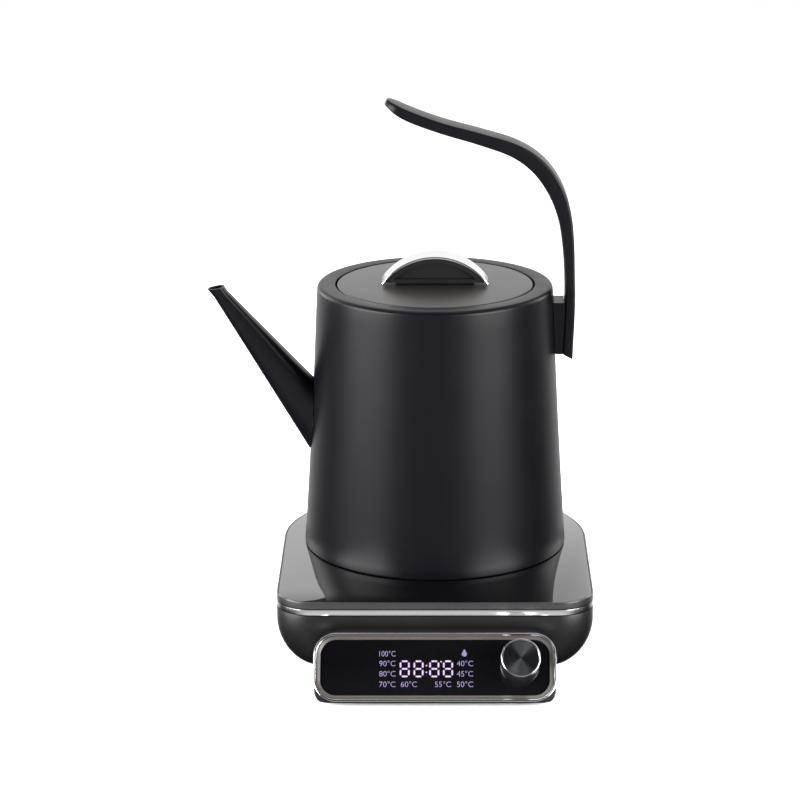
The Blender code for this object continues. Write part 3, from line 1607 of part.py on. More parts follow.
def grip_arc(radius_change, half_length, steps=16):
    """The lid grip's arch, as (x, height) points from right to left."""
    radius = (GRIP_HALF_LENGTH**2 + GRIP_RISE**2) / (2 * GRIP_RISE)
    centre = LID_TOP + GRIP_TOP - radius
    radius += radius_change
    reach = math.degrees(math.asin(half_length / radius))
    return arc((0, centre), radius, 90 - reach, 90 + reach, steps)


STAND_UP = (math.pi / 2, 0, 0)  # turns a flat plate up into the XZ plane


def upright_plate(name, outline, half_width, finish, **place):
    """A plate that stands in the kettle's XZ plane, centred on it."""
    return plate(name, outline, -half_width, half_width, finish, kettle, turn=STAND_UP, **place)


def grip_body():
    inset = GRIP_STRIP + GAP
    outline = grip_arc(-inset, GRIP_HALF_LENGTH - inset - 0.6 * MM)
    made = upright_plate("grip_body", outline, GRIP_HALF_WIDTH - 0.6 * MM, BLACK_PLASTIC)
    floor = LID_TOP + PLINTH_HEIGHT
    hollow = [
        (x, max(z, floor + 1 * MM))
        for x, z in grip_arc(-inset - GRIP_RIM, GRIP_HALF_LENGTH - inset - 3.5 * MM, 12)
    ]
    for side in (-1, 1):
        recess = upright_plate(
            f"grip_recess_{side + 2}",
            hollow,
            GRIP_RECESS,
            None,
            at=(0, side * (GRIP_HALF_WIDTH - 0.6 * MM), 0),
        )
        cut(made, recess)
    plinth = box(
        "grip_plinth",
        (-PLINTH_HALF_LENGTH, -PLINTH_HALF_WIDTH, LID_TOP + GAP),
        (PLINTH_HALF_LENGTH, PLINTH_HALF_WIDTH, floor + 0.6 * MM),
        None,
        kettle,
        1.1 * MM,
    )
    join(made, plinth)
    for i, x in enumerate((-GRIP_SCREW_X, GRIP_SCREW_X)):
        cut(made, grip_screw_hole(f"grip_hole_{i + 1}", x, LID_TOP - 2 * MM, LID_TOP + 7.5 * MM))
    return made


def grip_chrome():
    outer = grip_arc(0, GRIP_HALF_LENGTH, 20)
    inner = grip_arc(-GRIP_STRIP, GRIP_HALF_LENGTH - GRIP_STRIP / 2, 20)
    return upright_plate("grip_chrome", outer + inner[::-1], GRIP_HALF_WIDTH, CHROME)


def grip_screws():
    seat = LID_TOP - LID_THICKNESS - GAP
    for i, x in enumerate((-GRIP_SCREW_X, GRIP_SCREW_X)):
        turned(
            f"grip_screw_{i + 1}",
            screw_profile(LID_THICKNESS + 7 * MM),
            STEEL,
            kettle,
            12,
            at=(x, 0, seat),
        )


# ---------------------------------------------------------------- assembly

base_housing()
bottom_cover()
feet()
base_screws()
chrome_band()
top_deck()
glass_top()
rear_port("water_inlet", INLET_X, INLET_BODY_RADIUS, PORT_FLANGE_RADIUS, RISER_BORE, WHITE_PLASTIC)
rear_port("cord_gland", CORD_PORT_X, GLAND_BODY_RADIUS, GLAND_FLANGE_RADIUS, GLAND_BORE, RUBBER)
base_coupler()
water_riser()
nozzle_sleeve()
nozzle_seal()
pump()
hoses()
power_board()

control_pod()
chrome_frame()
panel_bezel()
display_glass()
display_board()
encoder()
knob()

body_shell()
spout()
spout_strainer()
bottom_plate()
heating_element()
thermostat_and_sensor()
kettle_coupler()
kettle_bottom_cover()
inlet_fitting()
valve_poppet()
valve_spring()
valve_cage()
handle()
handle_bracket()
handle_screws()

lid_plate()
lid_seal()
grip_body()
grip_chrome()
grip_screws()
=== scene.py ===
"""Looks of the electric kettle on its heating base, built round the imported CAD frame.

Lengths are metres, written in mm. Four local frames carry every piece: the base's (on the table,
on the kettle's axis), the kettle's (the same axis, on the glass), the display's (its middle, with +Z
out of it) and the knob's (the display's, moved to the knob). Pieces that show replace their CAD nodes
with finer ones; the rest keep the CAD shape.
"""

import json
import math

import bmesh
import bpy
from mathutils import Matrix, Vector


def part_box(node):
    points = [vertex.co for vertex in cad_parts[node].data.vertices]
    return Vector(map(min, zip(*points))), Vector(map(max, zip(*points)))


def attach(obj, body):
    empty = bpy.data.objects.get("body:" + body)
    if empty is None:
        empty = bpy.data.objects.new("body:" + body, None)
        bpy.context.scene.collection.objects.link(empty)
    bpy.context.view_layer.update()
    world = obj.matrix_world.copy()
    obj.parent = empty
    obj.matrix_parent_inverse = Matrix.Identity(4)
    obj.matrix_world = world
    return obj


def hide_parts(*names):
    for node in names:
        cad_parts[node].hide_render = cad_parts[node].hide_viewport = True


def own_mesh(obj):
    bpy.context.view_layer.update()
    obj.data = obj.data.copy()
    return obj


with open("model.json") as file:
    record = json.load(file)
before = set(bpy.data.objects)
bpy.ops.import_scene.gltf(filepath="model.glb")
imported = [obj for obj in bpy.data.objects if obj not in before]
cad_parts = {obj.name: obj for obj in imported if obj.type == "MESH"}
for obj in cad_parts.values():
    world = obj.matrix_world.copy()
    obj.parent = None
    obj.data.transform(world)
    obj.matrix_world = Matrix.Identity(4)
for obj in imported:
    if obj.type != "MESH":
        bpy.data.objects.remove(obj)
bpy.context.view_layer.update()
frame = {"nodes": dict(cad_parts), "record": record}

MM = 0.001
GAP = 0.3 * MM
WELD = 0.002 * MM
POT_ROUND = 192             # facets: of the pot and lid, of other round pieces, and of small ones
ROUND = 160
SMALL_ROUND = 64

# Base
BASE_HALF_WIDTH = 85 * MM
BASE_FRONT = 108 * MM
BASE_CORNER = 20 * MM
BACK_CENTRE = 4.5 * MM
FOOT_HEIGHT = 4 * MM
BOWL_RADIUS = 30 * MM
BOWL_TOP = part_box("base_housing")[1].z
BAND_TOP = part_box("chrome_band")[1].z
GLASS_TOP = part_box("glass_top")[1].z
GLASS_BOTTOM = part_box("glass_top")[0].z
RIM_WIDTH = 0.8 * MM
HOUSING_WALL = 2.2 * MM
DECK_SHOULDER = 2.8 * MM
COVER_INSET = 31 * MM
COVER_THICKNESS = 2 * MM
LIP_WIDTH = 6 * MM
BASE_SCREW_HOLE = 1.9 * MM
BOSS_RADIUS = 4 * MM
COVER_TOP = FOOT_HEIGHT + COVER_THICKNESS + GAP
BORE_TOP = FOOT_HEIGHT + 18 * MM
DECK_BOTTOM = BAND_TOP - 1.9 * MM
BAND_CROWN = 9.2 * MM
GLASS_EDGE = 0.25 * MM
PORT_HOLES = {"water_inlet": 5.3 * MM, "cord_gland": 6.3 * MM}
FOOT_GROOVES = (5.4 * MM, 3.2 * MM)
GROOVE_SECTION = ((0, 0), (0.2 * MM, 0.35 * MM), (0.6 * MM, 0.35 * MM), (0.8 * MM, 0))

# Display and knob
TILT = math.radians(36)
PANEL_HALF_WIDTH = 64 * MM
PANEL_HALF_HEIGHT = 18.7 * MM
PANEL_CORNER = 12 * MM
PANEL_Y = -129.4 * MM
PANEL_Z = 20 * MM
FRAME_WIDTH = 1.4 * MM
FRAME_DEPTH = 3.3 * MM
BEZEL_WIDTH = 1.8 * MM
BEZEL_TOP = -0.4 * MM
BEZEL_BOTTOM = -1.4 * MM
DISPLAY_TOP = -1.7 * MM
DISPLAY_THICKNESS = 1.6 * MM
POD_FRONT = -3.6 * MM
POD_LIP = 3.2 * MM
POD_FLOOR = 2.2 * MM
POD_LOW_CORNER = 7 * MM
POD_TAPER = 0.95
POD_ROOT = 28 * MM
POD_ROOT_LEAN = 24 * MM
POD_SWELL = 1.2 * MM
POD_FULLNESS = 0.6
POD_EDGE = ((0.6 * MM, 0), (0.15 * MM, 0.15 * MM), (0, 0.6 * MM), (0, POD_LIP))
POCKET = (57 * MM, -8.5 * MM, 14 * MM, 4 * MM)      # half width, low, high, corner
POCKET_DEPTH = 9.8 * MM
KNOB_AT = (45 * MM, 1.7 * MM)
KNOB_RADIUS = 10.3 * MM
KNOB_TOP = 13 * MM
KNOB_BOTTOM = -0.5 * MM
KNOB_WALL = 1.5 * MM
KNOB_RIM = 0.75 * MM
KNOB_CAVITY_TOP = 2.7 * MM
SHAFT_HOLE = 2.5 * MM
BUSH_HOLE = 4.8 * MM

# Kettle
BODY_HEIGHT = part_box("body_shell")[1].z - GLASS_TOP
BODY_FOOT_RADIUS = 73.1 * MM
BODY_SLOPE = 0.0702
BODY_FLARE = 0.1045
BODY_WALL = 1 * MM
SHOULDER = 2.5 * MM
FOOT_CLEARANCE = 0.4 * MM
RIM_FLAT = 10 * MM
LEDGE_DEPTH = 3.5 * MM
LEDGE_WIDTH = 3.5 * MM
LID_GAP = 1.1 * MM
LID_THICKNESS = 1.5 * MM
LID_SKIRT_INSET = 5.4 * MM
LID_SKIRT_DEPTH = 12 * MM
GRIP_HALF_LENGTH = 29.1 * MM
GRIP_RISE = 15 * MM
GRIP_TOP = 16.7 * MM
GRIP_HALF_WIDTH = 8.5 * MM
GRIP_STRIP = 1.1 * MM
GRIP_RIM = 2.2 * MM
GRIP_RECESS = 2.4 * MM
GRIP_SCREW_X = 12 * MM
PLINTH_HALF_LENGTH = 22 * MM
PLINTH_HALF_WIDTH = 6.5 * MM
PLINTH_HEIGHT = 3 * MM
SCREW_HOLE = 1.9 * MM

# Spout's lower and upper edge: how far out past the foot, and how far under the rim
SPOUT_ROOT = ((-13.1 * MM, 111.2 * MM), (-13.1 * MM, 62.7 * MM))
SPOUT_NECK = ((48.8 * MM, 7.6 * MM), (41.5 * MM, 4.5 * MM))
SPOUT_TIP = ((52.3 * MM, 3.3 * MM), (43.2 * MM, 1.7 * MM))
SPOUT_ROOT_HALF_WIDTH = 15 * MM
SPOUT_TIP_HALF_WIDTH = 4.6 * MM
SPOUT_WALL = 1.1 * MM
SPOUT_HOLE_DROP = 76 * MM
SPOUT_HOLE_RADIUS = 12 * MM
SPOUT_SPREAD = 1.4
RIDGED = 0.62               # a section's power: lower is squarer, and 1 is an ellipse
ROUNDED = 0.9

# Handle; its line is in mm: (how far in from its outermost line, height over the rim, half thickness)
HANDLE_REACH = BODY_FOOT_RADIUS + 1.1 * MM
HANDLE_LINE = (
    (100.8, 101.5, 1.9),
    (89.2, 94.9, 2.9),
    (71, 88.1, 3),
    (49.4, 81.9, 3.3),
    (30.8, 75.5, 3.8),
    (18, 66.6, 4.3),
    (9.1, 54.5, 4.4),
    (3.8, 40.4, 3.9),
    (1.4, 25, 3.3),
    (0.3, 7, 2.8),
    (0, -13, 2.8),
    (1.1, -40, 2.9),
)
HANDLE_HALF_WIDTH = 9.2 * MM
HANDLE_TIP_LENGTH = 9 * MM
HANDLE_EDGE = 1.3 * MM
HANDLE_SLANT = 0.5
BRACKET_LOW = 38.4 * MM
BRACKET_HIGH = 9.2 * MM
BRACKET_DEPTH = 14.4 * MM
BRACKET_HALF_WIDTH = 9 * MM
HANDLE_SCREW_DROPS = (31 * MM, 17 * MM)
SCREW_SEAT = HANDLE_REACH + 0.6 * MM
SCREW_HEAD_HOLE = 3.5 * MM

# Coupler, heights above the glass
COUPLER_RADIUS = 21 * MM
COUPLER_RISE = 8 * MM
COUPLER_BORE = 7.4 * MM
GROOVE_OUTER = 18.2 * MM
GROOVE_INNER = 12.3 * MM
GROOVE_DEPTH = 6 * MM
SOCKET_CLEARANCE = 0.4 * MM
SOCKET_WALL = 2.6 * MM
SEAL_RADIUS = 8.8 * MM
PLATE_HEIGHT = 16 * MM
BASE_CAP_THICKNESS = 2.5 * MM

# What the display shows, in its own frame
DIGIT_LEFTS = (-18.6 * MM, -11.3 * MM, -3 * MM, 4.25 * MM)
DIGIT_WIDTH = 5.25 * MM
DIGIT_TOP = 4 * MM
DIGIT_BOTTOM = -5.1 * MM
SEGMENT_WIDTH = 0.85 * MM
SEGMENT_GAP = 0.6 * MM
GLOW_WIDTH = 0.7            # half a glowing bar, in widths of a segment
GLOW_GAP = 0.3 * MM
COLON = ((-4.5 * MM, 1.25 * MM), (-4.5 * MM, -2.4 * MM))
COLON_RADIUS = 0.42 * MM
DEGREE_DOT = (3.25 * MM, 3.35 * MM)
DEGREE_RADIUS = 0.38 * MM
LABEL_HEIGHT = 3.1 * MM
LABEL_WIDTH = 8.6 * MM
LABEL_ROWS = (6.2 * MM, 0.9 * MM, -4.7 * MM, -10.4 * MM)
LEFT_LABELS_X = -29.4 * MM
RIGHT_LABELS_X = 11.5 * MM
LOW_LABELS = ((60, -18 * MM), (55, -0.1 * MM))
DROP_RADIUS = 1.35 * MM
PRINT_LOW = DISPLAY_TOP + 0.01 * MM
PRINT_HEIGHT = 0.03 * MM
THINNER = -0.004            # offset of the font's strokes


# ---------------- materials

def node(tree, kind, inputs=(), **settings):
    made = tree.nodes.new(kind)
    for name, value in settings.items():
        setattr(made, name, value)
    for name, value in dict(inputs).items():
        made.inputs[name].default_value = value
    return made


def new_material(name):
    made = bpy.data.materials.new(name)
    made.use_nodes = True
    tree = made.node_tree
    return made, tree, tree.links.new, tree.nodes["Principled BSDF"]


def two_tone(tree, dark, bright, low=0.0, high=1.0):
    """A colour ramp between two shades."""
    shades = node(tree, "ShaderNodeValToRGB")
    for stop, place, shade in zip(shades.color_ramp.elements, (low, high), (dark, bright)):
        stop.position = place
        stop.color = (*shade, 1)
    return shades


def surface(name, colour, roughness, metallic=0.0, sheen=0.0, ior=1.5, gloss=0.5,
            stretch=(1, 1, 1), grain=3000, depth=0.01 * MM, broad=40, spread=0.05, tint=0.12):
    """A finish with fine grain in its bump, and slow changes in its roughness and its colour."""
    made, tree, link, shader = new_material(name)
    shader.inputs["Metallic"].default_value = metallic
    shader.inputs["Sheen Weight"].default_value = sheen
    shader.inputs["IOR"].default_value = ior
    shader.inputs["Specular IOR Level"].default_value = gloss
    where = node(tree, "ShaderNodeTexCoord")
    scaled = node(tree, "ShaderNodeMapping", {"Scale": stretch})
    link(where.outputs["Object"], scaled.inputs["Vector"])
    fine = node(tree, "ShaderNodeTexNoise", {"Scale": grain, "Detail": 3, "Roughness": 0.6})
    slow = node(tree, "ShaderNodeTexNoise", {"Scale": broad, "Detail": 4, "Roughness": 0.55})
    link(scaled.outputs["Vector"], fine.inputs["Vector"])
    link(where.outputs["Object"], slow.inputs["Vector"])
    bump = node(tree, "ShaderNodeBump", {"Strength": 0.6, "Distance": depth})
    link(fine.outputs["Fac"], bump.inputs["Height"])
    link(bump.outputs["Normal"], shader.inputs["Normal"])
    both = node(tree, "ShaderNodeMath", operation="ADD")
    link(fine.outputs["Fac"], both.inputs[0])
    link(slow.outputs["Fac"], both.inputs[1])
    rough = node(tree, "ShaderNodeMapRange", {
        "From Min": 0.6, "From Max": 1.4, "To Min": roughness - spread, "To Max": roughness + spread,
    })
    link(both.outputs["Value"], rough.inputs["Value"])
    link(rough.outputs["Result"], shader.inputs["Roughness"])
    dark = [c * (1 - tint) for c in colour]
    bright = [min(c * (1 + tint), 1) for c in colour]
    shades = two_tone(tree, dark, bright, 0.3, 0.7)
    link(slow.outputs["Fac"], shades.inputs["Fac"])
    link(shades.outputs["Color"], shader.inputs["Base Color"])
    return made


def circuit_board():
    """Green solder mask over copper tracks, which show as paler lines."""
    made = surface("circuit_board", (0.012, 0.12, 0.045), 0.35, grain=1500, broad=120)
    tree = made.node_tree
    link = tree.links.new
    shader = tree.nodes["Principled BSDF"]
    where = node(tree, "ShaderNodeTexCoord")
    tracks = node(tree, "ShaderNodeTexBrick", {
        "Color1": (0.012, 0.11, 0.04, 1), "Color2": (0.016, 0.14, 0.05, 1),
        "Mortar": (0.05, 0.3, 0.12, 1),
        "Scale": 160, "Mortar Size": 0.06, "Brick Width": 1.7, "Row Height": 0.45,
    })
    link(where.outputs["Object"], tracks.inputs["Vector"])
    link(tracks.outputs["Color"], shader.inputs["Base Color"])
    return made


def brushed_face():
    """Dark metal turned in fine rings about its own Z, so that its gloss fans out from the middle."""
    made, tree, link, shader = new_material("dark_steel")
    shader.inputs["Metallic"].default_value = 1.0
    shader.inputs["Anisotropic"].default_value = 0.85
    where = node(tree, "ShaderNodeTexCoord")
    rings = node(tree, "ShaderNodeTexWave", {
        "Scale": 420, "Distortion": 1.2, "Detail": 3, "Detail Scale": 2,
    }, wave_type="RINGS", rings_direction="Z")
    link(where.outputs["Object"], rings.inputs["Vector"])
    bump = node(tree, "ShaderNodeBump", {"Strength": 0.35, "Distance": 0.01 * MM})
    link(rings.outputs["Fac"], bump.inputs["Height"])
    link(bump.outputs["Normal"], shader.inputs["Normal"])
    rough = node(tree, "ShaderNodeMapRange", {"To Min": 0.28, "To Max": 0.4})
    link(rings.outputs["Fac"], rough.inputs["Value"])
    link(rough.outputs["Result"], shader.inputs["Roughness"])
    shades = two_tone(tree, (0.02, 0.021, 0.023), (0.045, 0.047, 0.051))
    link(rings.outputs["Fac"], shades.inputs["Fac"])
    link(shades.outputs["Color"], shader.inputs["Base Color"])
    tangent = node(tree, "ShaderNodeTangent", direction_type="RADIAL", axis="Z")
    link(tangent.outputs["Tangent"], shader.inputs["Tangent"])
    return made


def lit(name, dark, bright, strength):
    """Light from behind a printed mask, a little uneven along each stroke."""
    made, tree, link, shader = new_material(name)
    shader.inputs["Base Color"].default_value = (0.02, 0.02, 0.02, 1)
    shader.inputs["Roughness"].default_value = 0.2
    shader.inputs["Emission Strength"].default_value = strength
    where = node(tree, "ShaderNodeTexCoord")
    patches = node(tree, "ShaderNodeTexNoise", {"Scale": 900, "Detail": 2})
    shades = two_tone(tree, dark, bright, 0.35, 0.65)
    link(where.outputs["Object"], patches.inputs["Vector"])
    link(patches.outputs["Fac"], shades.inputs["Fac"])
    link(shades.outputs["Color"], shader.inputs["Emission Color"])
    return made


DRAWN_OUT = (0.05, 0.05, 1)     # grain in lines that run round the piece

FINISHES = {
    "black_coat": surface("black_coat", (0.0012, 0.0012, 0.0018), 0.35, ior=1.42, gloss=0.11,
                          stretch=DRAWN_OUT, grain=2600, depth=0.006 * MM, spread=0.03, tint=0.06),
    "lid_coat": surface("lid_coat", (0.009, 0.0078, 0.007), 0.42, gloss=0.45, grain=2600,
                        depth=0.006 * MM, spread=0.03),
    "black_plastic": surface("black_plastic", (0.0014, 0.0014, 0.0015), 0.42, gloss=0.22, grain=2200,
                             depth=0.02 * MM),
    "rim_coat": surface("rim_coat", (0.008, 0.008, 0.008), 0.3, grain=2000, depth=0.006 * MM),
    "grey_plastic": surface("grey_plastic", (0.2, 0.2, 0.21), 0.5, grain=1800, depth=0.02 * MM),
    "white_plastic": surface("white_plastic", (0.34, 0.34, 0.325), 0.45, grain=1800,
                             depth=0.015 * MM, tint=0.04),
    "black_glass": surface("black_glass", (0.0012, 0.0012, 0.0015), 0.02, ior=1.75, grain=60, depth=0.0,
                           broad=9, spread=0.01, tint=0.3),
    "chrome": surface("chrome", (0.44, 0.44, 0.45), 0.2, 1.0, grain=900, depth=0.001 * MM,
                      spread=0.02, tint=0.02),
    "dark_steel": brushed_face(),
    "bezel": surface("bezel", (0.034, 0.029, 0.025), 0.42, 0.3, grain=2400, depth=0.004 * MM),
    "steel": surface("steel", (0.72, 0.71, 0.69), 0.4, 1.0, stretch=DRAWN_OUT, grain=2400,
                     depth=0.004 * MM, tint=0.05),
    "silicone": surface("silicone", (0.22, 0.215, 0.2), 0.5, sheen=0.15, grain=1200, depth=0.01 * MM),
    "rubber": surface("rubber", (0.018, 0.018, 0.018), 0.75, sheen=0.1, grain=1600, depth=0.04 * MM),
    "circuit_board": circuit_board(),
}
COATED_STEEL = [FINISHES["black_coat"], FINISHES["steel"]]
LIT_DIGITS = lit("lit_digits", (0.7, 0.45, 0.95), (0.95, 0.82, 1.0), 1.05)
LIT_LABELS = lit("lit_labels", (0.3, 0.22, 0.5), (0.5, 0.38, 0.72), 0.8)
LIT_GLOW = lit("lit_glow", (0.05, 0.02, 0.16), (0.09, 0.035, 0.25), 0.5)


# ---------------- shape helpers

body_low, body_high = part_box("body_shell")
AXIS = Matrix.Translation(((body_low.x + body_high.x) / 2, (body_low.y + body_high.y) / 2, 0))
ON_GLASS = AXIS @ Matrix.Translation((0, 0, GLASS_TOP))
PANEL = AXIS @ Matrix.Translation((0, PANEL_Y, PANEL_Z)) @ Matrix.Rotation(math.pi / 2 - TILT, 4, "X")
KNOB = PANEL @ Matrix.Translation((*KNOB_AT, 0))


def placed(name, data):
    made = bpy.data.objects.new(name, data)
    bpy.context.scene.collection.objects.link(made)
    return made


def mesh_from(name, shape):
    bmesh.ops.recalc_face_normals(shape, faces=shape.faces)
    mesh = bpy.data.meshes.new(name)
    shape.to_mesh(mesh)
    shape.free()
    return mesh


def skin(name, rings, wrap=False, second_from=None):
    """Joins rings of equal length in order; the bands from second_from on take the second finish."""
    shape = bmesh.new()
    rows = [[shape.verts.new(point) for point in ring] for ring in rings]
    pairs = list(zip(rows, rows[1:]))
    if wrap:
        pairs.append((rows[-1], rows[0]))
    count = len(rows[0])
    for band, (row, after) in enumerate(pairs):
        for i in range(count):
            j = (i + 1) % count
            face = shape.faces.new((row[i], row[j], after[j], after[i]))
            face.material_index = int(second_from is not None and band >= second_from)
    if not wrap:
        shape.faces.new(rows[0])
        shape.faces.new(rows[-1])
    return mesh_from(name, shape)


def eased(points, ease, steps=4):
    """An outline with every corner rounded, each by as much as its sides leave room for."""
    points = [Vector(p) for p in points]
    count = len(points)
    rounded = []
    for i, corner in enumerate(points):
        before = points[i - 1] - corner
        after = points[(i + 1) % count] - corner
        reach = min(ease, before.length * 0.45, after.length * 0.45)
        start = corner + before.normalized() * reach
        end = corner + after.normalized() * reach
        for k in range(steps + 1):
            t = k / steps
            rounded.append(tuple(start * (1 - t) ** 2 + corner * 2 * t * (1 - t) + end * t**2))
    return rounded


def turned(name, profile, steps=ROUND, second_from=None):
    """A mesh turned about Z from (radius, z) points; one that starts off the axis closes on itself."""
    turns = [2 * math.pi * k / steps for k in range(steps)]
    rings = [[(r * math.cos(a), r * math.sin(a), z) for a in turns] for r, z in profile if r > 0]
    return skin(name, rings, profile[0][0] > 0, second_from)


def arc(centre, radius, start, end, steps):
    angles = [math.radians(start + (end - start) * i / steps) for i in range(steps + 1)]
    return [(centre[0] + radius * math.cos(a), centre[1] + radius * math.sin(a)) for a in angles]


def rounded_rectangle(half_width, low, high, corner, steps=12, low_corner=None):
    low_corner = low_corner or corner
    x = half_width - corner
    low_x = half_width - low_corner
    points = arc((x, high - corner), corner, 0, 90, steps)
    points += arc((-x, high - corner), corner, 90, 180, steps)
    points += arc((-low_x, low + low_corner), low_corner, 180, 270, steps)
    points += arc((low_x, low + low_corner), low_corner, 270, 360, steps)
    return points


def slab(name, outline_at, low, high, ease, steps=3):
    """A flat piece with eased edges; outline_at gives its outline, drawn in by an inset."""
    edge = arc((0, 0), ease, 90, 0, steps)
    rings = [[(x, y, high - ease + up) for x, y in outline_at(ease - out)] for out, up in edge]
    rings += [[(x, y, low + ease - up) for x, y in outline_at(ease - out)] for out, up in reversed(edge)]
    return skin(name, rings)


def block(name, low, high, ease):
    """A box with eased edges."""
    shape = bmesh.new()
    size = [b - a for a, b in zip(low, high)]
    middle = [(a + b) / 2 for a, b in zip(low, high)]
    bmesh.ops.create_cube(shape, matrix=Matrix.Translation(middle) @ Matrix.Diagonal((*size, 1)))
    bmesh.ops.bevel(shape, geom=shape.edges[:], offset=ease, segments=4, profile=0.5, affect="EDGES")
    return mesh_from(name, shape)


def drill(name, radius, low, high, place, steps=SMALL_ROUND):
    """A round cutter along its place's Z."""
    mesh = turned(name, [(0, high), (radius, high), (radius, low), (0, low)], steps)
    mesh.transform(place)
    return mesh


def final_mesh(made):
    """A copy of an object's mesh as its modifiers or its font leave it."""
    return bpy.data.meshes.new_from_object(made.evaluated_get(bpy.context.evaluated_depsgraph_get()))


def carved(mesh, cutters, operation="DIFFERENCE"):
    """The mesh after Booleans with the other meshes, which are used up."""
    whole = placed("carved", mesh)
    others = []
    for cutter in cutters:
        other = placed("cutter", cutter)
        others.append(other)
        modifier = whole.modifiers.new("cut", "BOOLEAN")
        modifier.operation = operation
        modifier.object = other
        modifier.solver = "EXACT"
    bpy.context.view_layer.update()
    result = final_mesh(whole)
    for used in (whole, *others):
        bpy.data.objects.remove(used, do_unlink=True)
    return result


def welded(mesh):
    """Joins points that coincide, so that the mesh is closed."""
    shape = bmesh.new()
    shape.from_mesh(mesh)
    bmesh.ops.remove_doubles(shape, verts=shape.verts, dist=WELD)
    bmesh.ops.dissolve_degenerate(shape, edges=shape.edges, dist=WELD / 10)
    shape.to_mesh(mesh)
    shape.free()


def piece(name, mesh, body, slot, replaced=(), place=None, finishes=None, sharp=32, own_frame=False):
    """Puts a mesh on its CAD body, with its finish, in place of the CAD nodes it stands for."""
    mesh.name = name
    welded(mesh)
    made = placed(name, mesh)
    if place and own_frame:
        made.matrix_world = place
    elif place:
        mesh.transform(place)
    mesh.materials.clear()
    for finish in finishes or [FINISHES[slot]]:
        mesh.materials.append(finish)
    mesh.shade_smooth()
    mesh.set_sharp_from_angle(angle=math.radians(sharp))
    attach(made, body)
    if replaced:
        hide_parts(*replaced)
    return made


# ---------------- heating base

def base_outline(inset, corner_steps=14, back_steps=90):
    half = BASE_HALF_WIDTH - inset
    corner = max(BASE_CORNER - inset, 1 * MM)
    x = half - corner
    y = -(BASE_FRONT - inset - corner)
    left = arc((-x, y), corner, 180, 270, corner_steps)
    right = arc((x, y), corner, 270, 360, corner_steps)
    return left + right + arc((0, BACK_CENTRE), half, 0, 180, back_steps)


def base_rings(section, growth=0.0):
    """Rings of the base's plan from (inset, z) points."""
    return [[(x, y, z) for x, y in base_outline(inset - growth)] for inset, z in section]


def bowl_section(start, end, steps, wall=0.0):
    """(inset, z) points on the side's curve, between two angles below the horizontal."""
    centre = (BOWL_RADIUS, FOOT_HEIGHT + BOWL_RADIUS)
    return arc(centre, BOWL_RADIUS - wall, 180 + start, 180 + end, steps)


def base_housing():
    """The bowl, with a lip over the bottom cover and a hole for each port."""
    ease = 0.2 * MM
    bevel = 0.4 * MM
    nick = 0.1 * MM
    reach = 30 * MM
    lip = COVER_INSET + LIP_WIDTH
    section = [(HOUSING_WALL, BOWL_TOP - ease), (HOUSING_WALL - ease, BOWL_TOP)]
    section += [(bevel, BOWL_TOP), (nick, BOWL_TOP - nick), (0, BOWL_TOP - bevel)]
    section += bowl_section(0, 86, 22)
    section += [(COVER_INSET, FOOT_HEIGHT), (COVER_INSET, COVER_TOP)]
    section += [(lip, COVER_TOP), (lip, COVER_TOP + HOUSING_WALL)]
    section += bowl_section(70, 0, 12, HOUSING_WALL)
    mesh = skin("housing", base_rings(section), wrap=True)
    turn = Matrix.Rotation(math.pi / 2, 4, "X")
    holes = []
    for port, radius in PORT_HOLES.items():
        low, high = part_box(port)
        hole = drill("port", radius, -reach, reach, Matrix.Translation((low + high) / 2) @ turn)
        hole.transform(AXIS.inverted())
        holes.append(hole)
    piece("housing_bowl", carved(mesh, holes), "base", "black_plastic", ["base_housing"], AXIS)


def chrome_band():
    low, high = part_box("chrome_band")
    depth = DECK_SHOULDER - GAP
    crown = arc((BAND_CROWN, (low.z + high.z) / 2), BAND_CROWN, 171, 189, 10)
    section = [(depth, high.z), *crown, (depth, low.z)]
    band = skin("band", base_rings(section), wrap=True)
    piece("chrome_trim", band, "base", "chrome", ["chrome_band"], AXIS)


def coupler_hole():
    return drill("coupler_hole", COUPLER_RADIUS + GAP, 0, 100 * MM, Matrix.Identity(4), ROUND)


def deck():
    """The dark deck under the glass. Its rim shows round the glass, and its bosses take the screws."""
    low = BAND_TOP + GAP
    seat = GLASS_BOTTOM - GAP
    boss_top = seat - 1 * MM
    ease = 0.15 * MM
    edge = 0.35 * MM
    nick = 0.1 * MM
    section = [
        (DECK_SHOULDER, DECK_BOTTOM),
        (DECK_SHOULDER, low),
        (ease, low),
        (0, low + ease),
        *arc((edge, GLASS_TOP - edge), edge, 180, 90, 5),
        (RIM_WIDTH - nick, GLASS_TOP),
        (RIM_WIDTH, GLASS_TOP - nick),
        (RIM_WIDTH, seat),
    ]
    mesh = carved(skin("rim", base_rings(section)), [coupler_hole()])
    bosses = []
    bores = []
    for i in range(4):
        screw_low, screw_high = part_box(f"base_screw_{i + 1}")
        place = Matrix.Translation((screw_low + screw_high).xy.to_3d() / 2)
        bosses.append(drill("boss", BOSS_RADIUS, COVER_TOP, boss_top, place))
        bores.append(drill("bore", BASE_SCREW_HOLE, 0, BORE_TOP, place))
    for part_of_boss in bosses + bores:
        part_of_boss.transform(AXIS.inverted())
    mesh = carved(carved(mesh, bosses, "UNION"), bores)
    piece("deck_rim", mesh, "base", "rim_coat", ["top_deck"], AXIS)


def glass_plate():
    inset = RIM_WIDTH + GAP / 2
    glass = slab("glass", lambda d: base_outline(inset + d), GLASS_BOTTOM, GLASS_TOP, GLASS_EDGE)
    piece("glass_plate", carved(glass, [coupler_hole()]), "base", "black_glass", ["glass_top"], AXIS)


